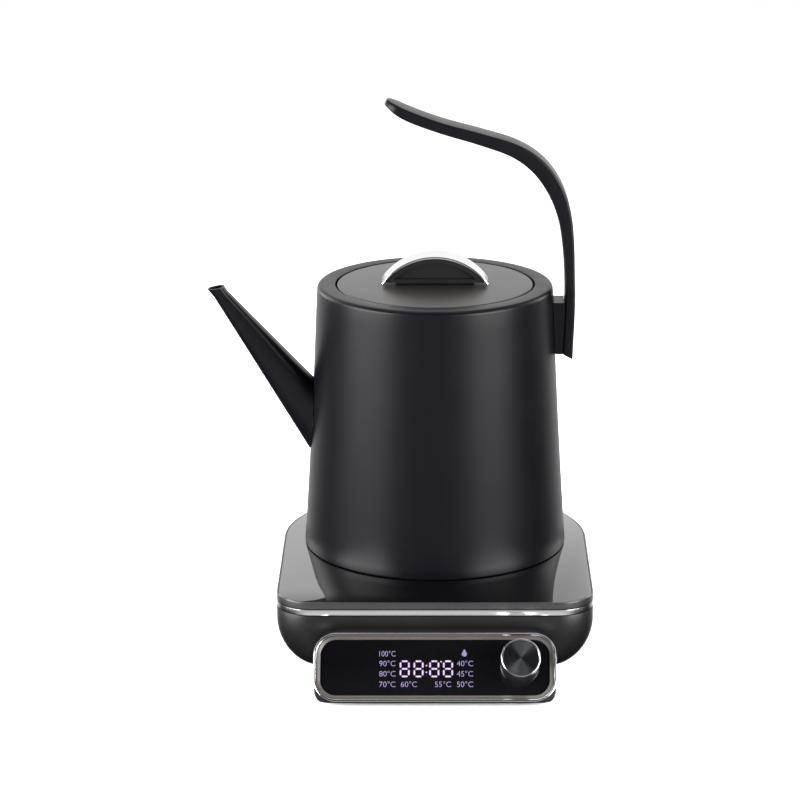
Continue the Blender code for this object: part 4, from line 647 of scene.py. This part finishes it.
def feet():
    """Four rubber pads, each with a round edge and two grooves underneath."""
    edge = 1 * MM
    for i in range(4):
        low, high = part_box(f"rubber_foot_{i + 1}")
        middle = (low + high) / 2
        radius = (high.x - low.x) / 2
        profile = [(0, high.z), (radius, high.z), (radius, edge)]
        profile += arc((radius - edge, edge), edge, 0, -90, 5)[1:]
        for groove in FOOT_GROOVES:
            profile += [(groove - inward, rise) for inward, rise in GROOVE_SECTION]
        profile.append((0, 0))
        place = Matrix.Translation((middle.x, middle.y, 0))
        piece(f"foot_pad_{i + 1}", turned("foot", profile, SMALL_ROUND), "base", "rubber",
              [f"rubber_foot_{i + 1}"], place)


# ---------------- control pod and display

def panel_outline(inset, steps=14):
    return rounded_rectangle(
        PANEL_HALF_WIDTH - inset,
        inset - PANEL_HALF_HEIGHT,
        PANEL_HALF_HEIGHT - inset,
        PANEL_CORNER - inset,
        steps,
    )


def panel_rings(section):
    return [[(x, y, z) for x, y in panel_outline(inset)] for inset, z in section]


def control_pod():
    """The black pod that holds the display, run back into the bowl and cut against it."""
    outline = rounded_rectangle(
        PANEL_HALF_WIDTH - GAP,
        GAP - PANEL_HALF_HEIGHT,
        PANEL_HALF_HEIGHT - GAP,
        PANEL_CORNER,
        low_corner=POD_LOW_CORNER,
    )
    to_base = AXIS.inverted() @ PANEL
    top = (to_base @ Vector((0, PANEL_HALF_HEIGHT, 0))).z
    root = []
    for x, y in outline:
        rise = (y + PANEL_HALF_HEIGHT) / (2 * PANEL_HALF_HEIGHT)
        z = FOOT_HEIGHT + GAP + (top - FOOT_HEIGHT) * rise
        root.append(Vector((x * POD_TAPER, POD_ROOT - BASE_FRONT - POD_ROOT_LEAN * rise, z)))
    rings = []
    for shrink, depth in POD_EDGE:
        ring = []
        for x, y in outline:
            scale_x = 1 - shrink / PANEL_HALF_WIDTH
            scale_y = 1 - shrink / PANEL_HALF_HEIGHT
            point = to_base @ Vector((x * scale_x, y * scale_y, POD_FRONT - depth))
            ring.append(Vector((point.x, point.y, max(point.z, POD_FLOOR))))
        rings.append(ring)
    lip = rings[-1]
    for share in (0.12, 0.3, 0.55, 0.8, 1):
        swell = POD_SWELL * math.sin(math.pi * share) * POD_FULLNESS
        ring = []
        for a, b in zip(lip, root):
            point = a.lerp(b, share)
            point.z += swell if a.z > PANEL_Z else 0
            ring.append(point)
        rings.append(ring)
    section = [(0, BOWL_TOP), *bowl_section(0, 90, 24)]
    bowl = skin("bowl", base_rings(section, GAP))
    pocket = skin("pocket", [
        [(x, y, z) for x, y in rounded_rectangle(*POCKET, 4)]
        for z in (POD_FRONT - POCKET_DEPTH, 5 * MM)
    ])
    pocket.transform(to_base)
    pod = carved(skin("pod", rings), [bowl, pocket])
    piece("display_pod", pod, "base", "black_plastic", ["control_pod"], AXIS)


def display():
    """The chrome frame, the bezel inside it and the glass behind them."""
    edge = 0.4 * MM
    ease = 0.15 * MM
    section = [(0, -FRAME_DEPTH), (0, -edge)]
    section += arc((edge, -edge), edge, 180, 90, 4)[1:]
    section += arc((FRAME_WIDTH - edge, -edge), edge, 90, 0, 4)
    section += [(FRAME_WIDTH, -FRAME_DEPTH)]
    ring = skin("frame", panel_rings(section), wrap=True)
    piece("display_frame", ring, "base", "chrome", ["chrome_frame"], PANEL)
    inset = FRAME_WIDTH + GAP
    inner = inset + BEZEL_WIDTH
    section = [
        (inset, BEZEL_BOTTOM),
        (inset, BEZEL_TOP - ease),
        (inset + ease, BEZEL_TOP),
        (inner - 0.2 * MM, BEZEL_TOP - 0.5 * MM),
        (inner, BEZEL_TOP - 0.6 * MM),
        (inner, BEZEL_BOTTOM),
    ]
    piece("display_bezel", skin("bezel", panel_rings(section), wrap=True), "base", "bezel",
          ["panel_bezel"], PANEL)
    low = DISPLAY_TOP - DISPLAY_THICKNESS
    cover = slab("cover", lambda d: panel_outline(inset + d), low, DISPLAY_TOP, ease)
    hole = drill("bush_hole", BUSH_HOLE, -50 * MM, 50 * MM, Matrix.Translation((*KNOB_AT, 0)))
    piece("display_cover", carved(cover, [hole]), "base", "black_glass", ["display_glass"], PANEL)


def flat_shapes(name, outlines, low, high, finish):
    """Printed shapes on the display's glass, as thin plates from their outlines."""
    shape = bmesh.new()
    for outline in outlines:
        rows = [[shape.verts.new((x, y, z)) for x, y in outline] for z in (low, high)]
        count = len(outline)
        for i in range(count):
            j = (i + 1) % count
            shape.faces.new((rows[0][i], rows[0][j], rows[1][j], rows[1][i]))
        for row in rows:
            shape.faces.new(row)
    piece(name, mesh_from(name, shape), "base", "white_plastic", (), PANEL, [finish])


def segment(start, end, half):
    """A lit bar with pointed ends, from start to end."""
    a, b = Vector(start), Vector(end)
    along = (b - a).normalized()
    side = Vector((-along.y, along.x)) * half
    tip = along * half
    return [tuple(p) for p in (a, a + tip + side, b - tip + side, b, b - tip - side, a + tip - side)]


def digit_segments(left, half, gap):
    """The seven bars of one digit."""
    x0 = left + SEGMENT_WIDTH / 2
    x1 = left + DIGIT_WIDTH - SEGMENT_WIDTH / 2
    y1 = DIGIT_TOP - SEGMENT_WIDTH / 2
    y0 = DIGIT_BOTTOM + SEGMENT_WIDTH / 2
    ym = (y0 + y1) / 2
    bars = [segment((x0 + gap, y), (x1 - gap, y), half) for y in (y0, ym, y1)]
    for x in (x0, x1):
        bars.append(segment((x, y0 + gap), (x, ym - gap), half))
        bars.append(segment((x, ym + gap), (x, y1 - gap), half))
    return bars


def dot(centre, radius):
    return arc(centre, radius, 0, 330, 11)


def lit_digits():
    """Four digits, a colon and a degree dot, over a faint glow."""
    bars = []
    glow = []
    for left in DIGIT_LEFTS:
        bars += digit_segments(left, SEGMENT_WIDTH / 2, SEGMENT_GAP)
        glow += digit_segments(left, SEGMENT_WIDTH * GLOW_WIDTH, GLOW_GAP)
    bars += [dot(at, COLON_RADIUS) for at in COLON]
    bars.append(dot(DEGREE_DOT, DEGREE_RADIUS))
    flat_shapes("digit_glow", glow, PRINT_LOW, PRINT_LOW + PRINT_HEIGHT, LIT_GLOW)
    flat_shapes("digit_bars", bars, PRINT_LOW, PRINT_LOW + 2 * PRINT_HEIGHT, LIT_DIGITS)


def label(number, left, bottom):
    """A temperature printed on the display, fitted to a box."""
    name = f"label_{number}"
    text = bpy.data.curves.new(name, "FONT")
    text.body = f"{number}°C"
    text.extrude = PRINT_HEIGHT
    text.offset = THINNER
    source = placed(name, text)
    bpy.context.view_layer.update()
    mesh = final_mesh(source)
    bpy.data.objects.remove(source, do_unlink=True)
    xs = [v.co.x for v in mesh.vertices]
    ys = [v.co.y for v in mesh.vertices]
    scale_x = LABEL_WIDTH / (max(xs) - min(xs))
    scale_y = LABEL_HEIGHT / (max(ys) - min(ys))
    middle = PRINT_LOW + PRINT_HEIGHT
    for v in mesh.vertices:
        x = left + (v.co.x - min(xs)) * scale_x
        y = bottom + (v.co.y - min(ys)) * scale_y
        v.co = (x, y, middle + v.co.z)
    piece(name, mesh, "base", "white_plastic", (), PANEL, [LIT_LABELS])


def labels():
    """The temperatures round the digits, and a plain drop of water."""
    for number, row in zip((100, 90, 80, 70), LABEL_ROWS):
        label(number, LEFT_LABELS_X, row)
    for number, row in zip((40, 45, 50), LABEL_ROWS[1:]):
        label(number, RIGHT_LABELS_X, row)
    for number, left in LOW_LABELS:
        label(number, left, LABEL_ROWS[3])
    x, y = (RIGHT_LABELS_X + 4 * MM, LABEL_ROWS[0] + 1.3 * MM)
    drop = arc((x, y), DROP_RADIUS, 150, 390, 16)
    drop.append((x, y + 2 * DROP_RADIUS))
    flat_shapes("label_drop", [drop], PRINT_LOW, PRINT_LOW + PRINT_HEIGHT, LIT_LABELS)


def knob():
    """A chrome cap with a turned face set in it, a little dished."""
    edge = 0.35 * MM
    nick = 0.12 * MM
    face_low = KNOB_TOP - 0.9 * MM
    rim = KNOB_RADIUS - KNOB_RIM
    inside = KNOB_RADIUS - KNOB_WALL
    profile = arc((KNOB_RADIUS - edge, KNOB_TOP - edge), edge, 90, 0, 4)
    profile += arc((KNOB_RADIUS - edge, KNOB_BOTTOM + edge), edge, 0, -90, 4)
    profile += [
        (inside, KNOB_BOTTOM),
        (inside, KNOB_CAVITY_TOP),
        (SHAFT_HOLE, KNOB_CAVITY_TOP),
        (SHAFT_HOLE, face_low),
        (rim, face_low),
        (rim, KNOB_TOP - nick),
        (rim + nick, KNOB_TOP),
    ]
    piece("knob_ring", turned("knob", profile), "knob", "chrome", ["knob_shell"], KNOB)
    bevel = 0.1 * MM
    dish = 0.12 * MM
    radius = rim - bevel
    top = KNOB_TOP - 0.15 * MM
    low = top - 0.45 * MM
    profile = [(0, top - dish), (0.05 * MM, top - dish), (radius * 0.5, top - dish / 2)]
    profile += [(radius - bevel, top), (radius, top - bevel), (radius, low), (0, low)]
    disc = turned("disc", profile)
    piece("knob_disc", disc, "knob", "dark_steel", ["knob_face"], KNOB, own_frame=True)


# ---------------- kettle

def body_radius(height):
    return BODY_FOOT_RADIUS - BODY_SLOPE * height + BODY_FLARE * height * height


RIM_RADIUS = body_radius(BODY_HEIGHT)
MOUTH_RADIUS = RIM_RADIUS - RIM_FLAT


def body_wall(growth, steps=28):
    heights = [BODY_HEIGHT * (1 - i / steps) for i in range(steps + 1)]
    return [(body_radius(h) + growth, h) for h in heights]


def body_solid(growth):
    """The kettle's outer shape as one solid, grown by a clearance."""
    return turned("solid", [(0, BODY_HEIGHT), *body_wall(growth), (0, 0)])


def body():
    """The pot: coated outside, bare steel inside."""
    top = BODY_HEIGHT
    wall = BODY_WALL
    foot = FOOT_CLEARANCE
    ledge = top - LEDGE_DEPTH
    lip = 0.5 * MM
    turn_up = foot + 1 * MM
    shoulder = top - SHOULDER - 1 * MM
    outer = body_radius(foot)
    corner = (RIM_RADIUS - SHOULDER, top - SHOULDER)
    profile = [(MOUTH_RADIUS, top - lip), *arc((MOUTH_RADIUS + lip, top - lip), lip, 170, 90, 4)]
    profile += arc(corner, SHOULDER, 90, 0, 12)
    profile += [p for p in body_wall(0) if turn_up < p[1] < shoulder]
    profile += [(outer, turn_up), (outer - 0.15 * MM, foot + 0.3 * MM)]
    profile += [(outer - 0.5 * MM, foot), (outer - 0.5 * MM - wall, foot)]
    outside = len(profile)
    profile += [(outer - wall, turn_up)]
    profile += [p for p in reversed(body_wall(-wall)) if foot + 1.5 * MM < p[1] < shoulder]
    profile += arc(corner, SHOULDER - wall, 0, 90, 6)
    profile += [
        (MOUTH_RADIUS + wall, top - wall),
        (MOUTH_RADIUS + wall, ledge - wall),
        (MOUTH_RADIUS - LEDGE_WIDTH, ledge - wall),
        (MOUTH_RADIUS - LEDGE_WIDTH, ledge),
        (MOUTH_RADIUS, ledge),
    ]
    mesh = turned("body", profile, POT_ROUND, outside - 1)
    height = top - SPOUT_HOLE_DROP
    middle = body_radius(height)
    reach = 6 * MM
    place = Matrix.Translation((0, 0, height)) @ Matrix.Rotation(-math.pi / 2, 4, "Y")
    hole = drill("hole", SPOUT_HOLE_RADIUS, middle - reach, middle + reach, place)
    piece("pot_body", carved(mesh, [hole]), "kettle", "black_coat", ["body_shell"], ON_GLASS,
          COATED_STEEL)


def spout_edge(edge):
    out, drop = edge
    return Vector((-BODY_FOOT_RADIUS - out, 0, BODY_HEIGHT - drop))


def spout_section(low, high, half_width, inset, count=56):
    """Round below and squarer above, so two soft ridges run up the spout."""
    middle = (low + high) / 2
    half = (high - low).length / 2
    up = (high - low).normalized()
    points = []
    for i in range(count):
        angle = 2 * math.pi * i / count
        across = math.cos(angle)
        rise = math.sin(angle)
        power = RIDGED if rise > 0 else ROUNDED
        across = math.copysign(abs(across) ** power, across)
        rise = math.copysign(abs(rise) ** power, rise)
        sideways = Vector((0, (half_width - inset) * across, 0))
        points.append(middle + sideways + up * ((half - inset) * rise))
    return points


def spout():
    """A tapering tube, coated outside and bare inside and round its mouth."""
    stations = 24
    outer = []
    inner = []
    for i in range(stations + 1):
        t = i / stations
        low = spout_edge(SPOUT_ROOT[0]).lerp(spout_edge(SPOUT_NECK[0]), t)
        high = spout_edge(SPOUT_ROOT[1]).lerp(spout_edge(SPOUT_NECK[1]), t)
        spread = SPOUT_ROOT_HALF_WIDTH - SPOUT_TIP_HALF_WIDTH
        half_width = SPOUT_TIP_HALF_WIDTH + spread * (1 - t) ** SPOUT_SPREAD
        outer.append(spout_section(low, high, half_width, 0))
        inner.append(spout_section(low, high, half_width, SPOUT_WALL))
    low = spout_edge(SPOUT_TIP[0])
    high = spout_edge(SPOUT_TIP[1])
    for inset in (0, 0.25 * MM):
        outer.append(spout_section(low, high, SPOUT_TIP_HALF_WIDTH, inset))
    for inset in (SPOUT_WALL - 0.2 * MM, SPOUT_WALL):
        inner.append(spout_section(low, high, SPOUT_TIP_HALF_WIDTH, inset))
    mesh = skin("spout", outer + inner[::-1], True, len(outer) - 2)
    piece("spout_tube", carved(mesh, [body_solid(GAP)]), "kettle", "black_coat", ["spout"], ON_GLASS,
          COATED_STEEL, sharp=50)


def curve_through(points, steps):
    """A smooth open curve through points, as (point, tangent) pairs, by Catmull and Rom's rule."""
    ends = [2 * points[0] - points[1], *points, 2 * points[-1] - points[-2]]
    stations = []
    for i in range(1, len(ends) - 2):
        p0, p1, p2, p3 = ends[i - 1 : i + 3]
        a = 2 * p1
        b = p2 - p0
        c = 2 * p0 - 5 * p1 + 4 * p2 - p3
        d = 3 * p1 - p0 - 3 * p2 + p3
        for k in range(steps + (i == len(ends) - 3)):
            t = k / steps
            place = 0.5 * (a + b * t + c * t**2 + d * t**3)
            slope = 0.5 * (b + 2 * c * t + 3 * d * t**2)
            stations.append((place, slope))
    return stations


def handle_rings(growth, corner_steps=6):
    """The handle's strap, rounded off at its open tip and cut on a slant at its foot."""
    line = [Vector((HANDLE_REACH - x * MM, t * MM, BODY_HEIGHT + z * MM)) for x, z, t in HANDLE_LINE]
    rings = []
    run = 0.0
    stations = curve_through(line, 10)
    before = stations[0][0]
    for place, slope in stations:
        run += math.hypot(place.x - before.x, place.z - before.z)
        before = place
        half_width = HANDLE_HALF_WIDTH
        thick = place.y
        if run < HANDLE_TIP_LENGTH:
            edge = 0.8 * MM
            ahead = 1 - (run + edge) / (HANDLE_TIP_LENGTH + edge)
            half_width *= math.sqrt(1 - ahead**2)
            thick *= 1 - 0.25 * ahead**3
        along = Vector((slope.x, 0, slope.z)).normalized()
        out = Vector((-along.z, 0, along.x))
        middle = Vector((place.x, 0, place.z))
        half_width += growth
        thick += growth
        edge = min(HANDLE_EDGE, thick * 0.9, half_width * 0.9)
        outline = rounded_rectangle(half_width, -thick, thick, edge, corner_steps)
        rings.append([middle + Vector((0, y, 0)) + out * n for y, n in outline])
    foot = rings[-1]
    centre = sum(foot, Vector()) / len(foot)
    foot = [p - Vector((0, 0, HANDLE_SLANT * (p.x - centre.x))) for p in foot]
    rings[-1] = [p + Vector((0, 0, 0.6 * MM)) for p in foot]
    rings.append([centre.lerp(p, 0.96) + Vector((0, 0, 0.15 * MM)) for p in foot])
    rings.append([centre.lerp(p, 0.85) for p in foot])
    return rings


def handle():
    along_x = Matrix.Rotation(math.pi / 2, 4, "Y")
    beyond = HANDLE_REACH + BRACKET_DEPTH
    shanks = []
    heads = []
    bracket_holes = []
    for drop in HANDLE_SCREW_DROPS:
        place = Matrix.Translation((0, 0, BODY_HEIGHT - drop)) @ along_x
        shanks.append(drill("shank", SCREW_HOLE, HANDLE_REACH - BRACKET_DEPTH, beyond, place))
        heads.append(drill("head", SCREW_HEAD_HOLE, SCREW_SEAT - GAP, beyond, place))
        bracket_holes.append(drill("shank", SCREW_HOLE, HANDLE_REACH - 2 * BRACKET_DEPTH, beyond, place))
    strap = carved(skin("strap", handle_rings(0)), shanks + heads)
    piece("handle_strap", strap, "kettle", "black_coat", ["handle"], ON_GLASS)
    bracket = block(
        "bracket",
        (HANDLE_REACH - BRACKET_DEPTH, -BRACKET_HALF_WIDTH, BODY_HEIGHT - BRACKET_LOW),
        (HANDLE_REACH - 0.5 * MM, BRACKET_HALF_WIDTH, BODY_HEIGHT - BRACKET_HIGH),
        0.5 * MM,
    )
    cutters = [body_solid(GAP), skin("strap", handle_rings(GAP)), *bracket_holes]
    piece("handle_mount", carved(bracket, cutters), "kettle", "black_coat", ["handle_bracket"], ON_GLASS)


# ---------------- lid

def grip_screw_holes(low, high):
    return [
        drill("hole", SCREW_HOLE, low, high, Matrix.Translation((x, 0, 0)))
        for x in (-GRIP_SCREW_X, GRIP_SCREW_X)
    ]


def lid():
    """A disc with a rounded edge, and a skirt that goes down into the mouth."""
    radius = MOUTH_RADIUS - LID_GAP
    skirt = MOUTH_RADIUS - LID_SKIRT_INSET
    top = BODY_HEIGHT
    seat = top - LEDGE_DEPTH + GAP
    low = top - LID_SKIRT_DEPTH
    wall = 1 * MM
    edge = 0.9 * MM
    ease = 0.3 * MM
    profile = [(0, top), *arc((radius - edge, top - edge), edge, 90, 0, 8)]
    profile += [(radius, seat + ease), (radius - ease, seat), (skirt, seat)]
    profile += [(skirt, low + ease), (skirt - wall / 2, low), (skirt - wall, low + ease)]
    profile += [(skirt - wall, top - LID_THICKNESS), (0, top - LID_THICKNESS)]
    holes = grip_screw_holes(top - 9 * MM, top + 1 * MM)
    mesh = carved(turned("lid", profile, POT_ROUND), holes)
    piece("lid_disc", mesh, "lid", "lid_coat", ["lid_plate"], ON_GLASS)


def grip_arc(radius_change, half_length, steps=48):
    """The grip's arch, as (x, height) points from right to left."""
    radius = (GRIP_HALF_LENGTH**2 + GRIP_RISE**2) / (2 * GRIP_RISE)
    centre = BODY_HEIGHT + GRIP_TOP - radius
    radius += radius_change
    reach = math.degrees(math.asin(half_length / radius))
    return arc((0, centre), radius, 90 - reach, 90 + reach, steps)


def upright(name, outline, half_width, ease=0.0, y=0.0):
    """A plate that stands in the XZ plane, its two faces' edges eased."""
    points = [Vector(p) for p in outline]
    centre = sum(points, Vector((0, 0))) / len(points)
    rings = []
    near = ((ease, -half_width), (0, ease - half_width))
    far = ((0, half_width - ease), (ease, half_width))
    for inset, depth in near + far:
        ring = []
        for p in points:
            q = p + (centre - p).normalized() * inset
            ring.append((q.x, depth + y, q.y))
        rings.append(ring)
    if ease == 0:
        rings = [rings[0], rings[-1]]
    return skin(name, rings)


def grip():
    """The lid's grip: an arch hollowed from both sides on a plinth, under a chrome strip."""
    top = BODY_HEIGHT
    inset = GRIP_STRIP + GAP
    half_width = GRIP_HALF_WIDTH - 0.6 * MM
    mesh = upright("grip", grip_arc(-inset, GRIP_HALF_LENGTH - inset - 0.6 * MM), half_width, 0.3 * MM)
    floor = top + PLINTH_HEIGHT
    sill = floor + 1 * MM
    curve = grip_arc(-inset - GRIP_RIM, GRIP_HALF_LENGTH - inset - 3.5 * MM)
    curve = [point for point in curve if point[1] > sill]
    slope = 0.6 * MM
    hollow = [(curve[0][0] + slope, sill), *curve, (curve[-1][0] - slope, sill)]
    recesses = [upright("recess", hollow, GRIP_RECESS, y=side * half_width) for side in (-1, 1)]
    mesh = carved(mesh, recesses)
    plinth = block(
        "plinth",
        (-PLINTH_HALF_LENGTH, -PLINTH_HALF_WIDTH, top + GAP),
        (PLINTH_HALF_LENGTH, PLINTH_HALF_WIDTH, floor + 0.6 * MM),
        1.1 * MM,
    )
    mesh = carved(mesh, [plinth], "UNION")
    holes = grip_screw_holes(top - 2 * MM, top + 7.5 * MM)
    piece("grip_core", carved(mesh, holes), "lid", "black_plastic", ["grip_body"], ON_GLASS)
    outer = grip_arc(0, GRIP_HALF_LENGTH, 64)
    inner = grip_arc(-GRIP_STRIP, GRIP_HALF_LENGTH - GRIP_STRIP / 2, 64)
    rows = []
    ease = 0.3 * MM
    w = GRIP_HALF_WIDTH
    for (x0, z0), (x1, z1) in zip(outer, inner):
        rows.append([
            (x0, ease - w, z0),
            (x0, w - ease, z0),
            ((x0 * 2 + x1) / 3, w, (z0 * 2 + z1) / 3),
            (x1, w, z1),
            (x1, -w, z1),
            ((x0 * 2 + x1) / 3, -w, (z0 * 2 + z1) / 3),
        ])
    piece("grip_strip", skin("strip", rows), "lid", "chrome", ["grip_chrome"], ON_GLASS)


# ---------------- couplers, under the kettle

def couplers():
    """The base's plug, the kettle's socket round it, and the cover under the kettle."""
    top = COUPLER_RISE
    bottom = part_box("base_coupler")[0].z - GLASS_TOP
    flange = COUPLER_RADIUS + 7 * MM
    flange_top = GLASS_BOTTOM - GLASS_TOP - 3.6 * MM
    flange_low = GLASS_BOTTOM - GLASS_TOP - 6.1 * MM
    profile = [
        (COUPLER_RADIUS, top),
        (COUPLER_RADIUS, flange_top),
        (flange, flange_top),
        (flange, flange_low),
        (COUPLER_RADIUS + 1 * MM, flange_low),
        (COUPLER_RADIUS + 1 * MM, bottom),
        (COUPLER_BORE, bottom),
        (COUPLER_BORE, top),
        (GROOVE_INNER, top),
        (GROOVE_INNER, top - GROOVE_DEPTH),
        (GROOVE_OUTER, top - GROOVE_DEPTH),
        (GROOVE_OUTER, top),
    ]
    piece("coupler_plug", turned("plug", eased(profile, 0.7 * MM)), "base", "grey_plastic",
          ["base_coupler"], ON_GLASS)
    clear = SOCKET_CLEARANCE
    outer = COUPLER_RADIUS + clear + SOCKET_WALL
    roof = COUPLER_RISE + clear
    shelf = PLATE_HEIGHT - 1.2 * MM
    passage = SEAL_RADIUS + 0.8 * MM
    tongue = COUPLER_RISE - GROOVE_DEPTH + 1 * MM
    foot = 0.6 * MM
    profile = [
        (outer + 3 * MM, shelf),
        (outer + 3 * MM, shelf - 2 * MM),
        (outer, shelf - 2 * MM),
        (outer, foot),
        (COUPLER_RADIUS + clear, foot),
        (COUPLER_RADIUS + clear, roof),
        (GROOVE_OUTER - clear, roof),
        (GROOVE_OUTER - clear, tongue),
        (GROOVE_INNER + clear, tongue),
        (GROOVE_INNER + clear, roof),
        (passage, roof),
        (passage, shelf),
    ]
    piece("coupler_socket", turned("socket", eased(profile, 0.5 * MM)), "kettle", "black_plastic",
          ["kettle_coupler"], ON_GLASS)
    foot = body_radius(FOOT_CLEARANCE) - 0.5 * MM - BODY_WALL - GAP
    inner = outer + GAP
    groove = (foot + inner) / 2
    floor = 1 * MM
    profile = [(foot, BASE_CAP_THICKNESS), (foot, GAP)]
    profile += [(groove + 3 * MM, GAP), (groove + 2 * MM, floor)]
    profile += [(groove - 2 * MM, floor), (groove - 3 * MM, GAP)]
    profile += [(inner, GAP), (inner, BASE_CAP_THICKNESS)]
    piece("under_cover", turned("under", eased(profile, 0.4 * MM)), "kettle", "black_plastic",
          ["kettle_bottom_cover"], ON_GLASS)


def valve_spring():
    """The CAD's coil, copied as it is and shaded smooth; it is not made to shorten as the valve lifts.
    """
    mesh = frame["nodes"]["valve_spring"].data.copy()
    coil = piece("valve_coil", mesh, "kettle", "steel", ["valve_spring"])
    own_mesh(coil)


# ---------------- light, floor and camera

BRIGHT_SIDE = (0, 0.8, 0.6)     # the sky is brightest behind the object and above it
SKY = ((0.03, 0.75), (0.2, 0.06), (0.5, 0.004), (0.6, 0.012), (0.74, 0.7), (0.97, 1.0))
SKY_STRENGTH = 1.65
LIT_POINT = Vector((0, 0, 0.12))
LIGHTS = (                      # name, azimuth, height, distance, width, tall, power
    ("left_light", -66, 0.42, 1.5, 1.35, 0.85, 130),
    ("right_light", 54, 0.42, 1.5, 1.1, 0.85, 95),
    ("back_left_light", -130, 0.5, 1.6, 0.8, 0.9, 14),
    ("back_right_light", 128, 0.5, 1.6, 0.8, 0.9, 14),
    ("top_light", 170, 1.9, 0.5, 1.6, 1.2, 9),
)
FLOOR_RADIUS = 8
CAMERA_DISTANCE = 1.722
CAMERA_DROP = math.radians(16.15)
CAMERA_AIM = 80.9 * MM          # over the glass
LENS = 139.14
SENSOR = 36
SHIFT = -0.04375


def softbox(name, azimuth, height, distance, width, tall, power):
    """An area light that faces the object; azimuth 0 is the display's side, and 90 the handle's."""
    angle = math.radians(azimuth)
    at = Vector((math.sin(angle) * distance, -math.cos(angle) * distance, height))
    light = bpy.data.lights.new(name, "AREA")
    light.shape = "RECTANGLE"
    light.size = width
    light.size_y = tall
    light.energy = power
    made = placed(name, light)
    made.location = at
    made.rotation_euler = (LIT_POINT - at).to_track_quat("-Z", "Y").to_euler()
    made.visible_camera = False


def studio():
    """The lights, a sky that is dark in front, and a floor that reflections don't show."""
    scene = bpy.context.scene
    for light in LIGHTS:
        softbox(*light)
    world = bpy.data.worlds.new("studio")
    scene.world = world
    world.use_nodes = True
    tree = world.node_tree
    link = tree.links.new
    background = tree.nodes["Background"]
    where = node(tree, "ShaderNodeTexCoord")
    towards = node(tree, "ShaderNodeVectorMath", operation="DOT_PRODUCT")
    towards.inputs[1].default_value = BRIGHT_SIDE
    link(where.outputs["Generated"], towards.inputs[0])
    half = node(tree, "ShaderNodeMapRange", {"From Min": -1, "From Max": 1})
    link(towards.outputs["Value"], half.inputs["Value"])
    ramp = node(tree, "ShaderNodeValToRGB")
    stops = ramp.color_ramp.elements
    while len(stops) < len(SKY):
        stops.new(0.5)
    for stop, (place, shade) in zip(stops, SKY):
        stop.position = place
        stop.color = (shade, shade, shade, 1)
    link(half.outputs["Result"], ramp.inputs["Fac"])
    link(ramp.outputs["Color"], background.inputs["Color"])
    background.inputs["Strength"].default_value = SKY_STRENGTH
    floor_shape = bmesh.new()
    bmesh.ops.create_circle(floor_shape, cap_ends=True, segments=64, radius=FLOOR_RADIUS)
    floor_mesh = bpy.data.meshes.new("floor")
    floor_shape.to_mesh(floor_mesh)
    floor_shape.free()
    floor = placed("floor", floor_mesh)
    floor_mesh.materials.append(surface(
        "floor_paint", (0.86, 0.86, 0.86), 0.75, grain=300, depth=0.02 * MM, broad=3, spread=0.02,
        tint=0.005,
    ))
    floor.visible_glossy = False
    scene.view_settings.view_transform = "Standard"


def camera():
    """The photograph's view: level across, looking down a little from the display's side."""
    lens = bpy.data.cameras.new("camera")
    lens.lens = LENS
    lens.sensor_width = SENSOR
    lens.shift_x = SHIFT
    lens.clip_end = 30
    made = placed("camera", lens)
    back = Vector((0, -CAMERA_DISTANCE * math.cos(CAMERA_DROP), CAMERA_DISTANCE * math.sin(CAMERA_DROP)))
    made.location = AXIS @ Vector((0, 0, GLASS_TOP + CAMERA_AIM)) + back
    made.rotation_euler = (math.pi / 2 - CAMERA_DROP, 0, 0)
    bpy.context.scene.camera = made


# ---------------- the scene

for part in frame["record"]["subparts"]:
    materials = frame["nodes"][part["node"]].data.materials
    materials.clear()
    materials.append(FINISHES[part["material_slot"]])

camera()
studio()
base_housing()
chrome_band()
deck()
glass_plate()
feet()
control_pod()
display()
lit_digits()
labels()
knob()
body()
spout()
handle()
lid()
grip()
couplers()
valve_spring()
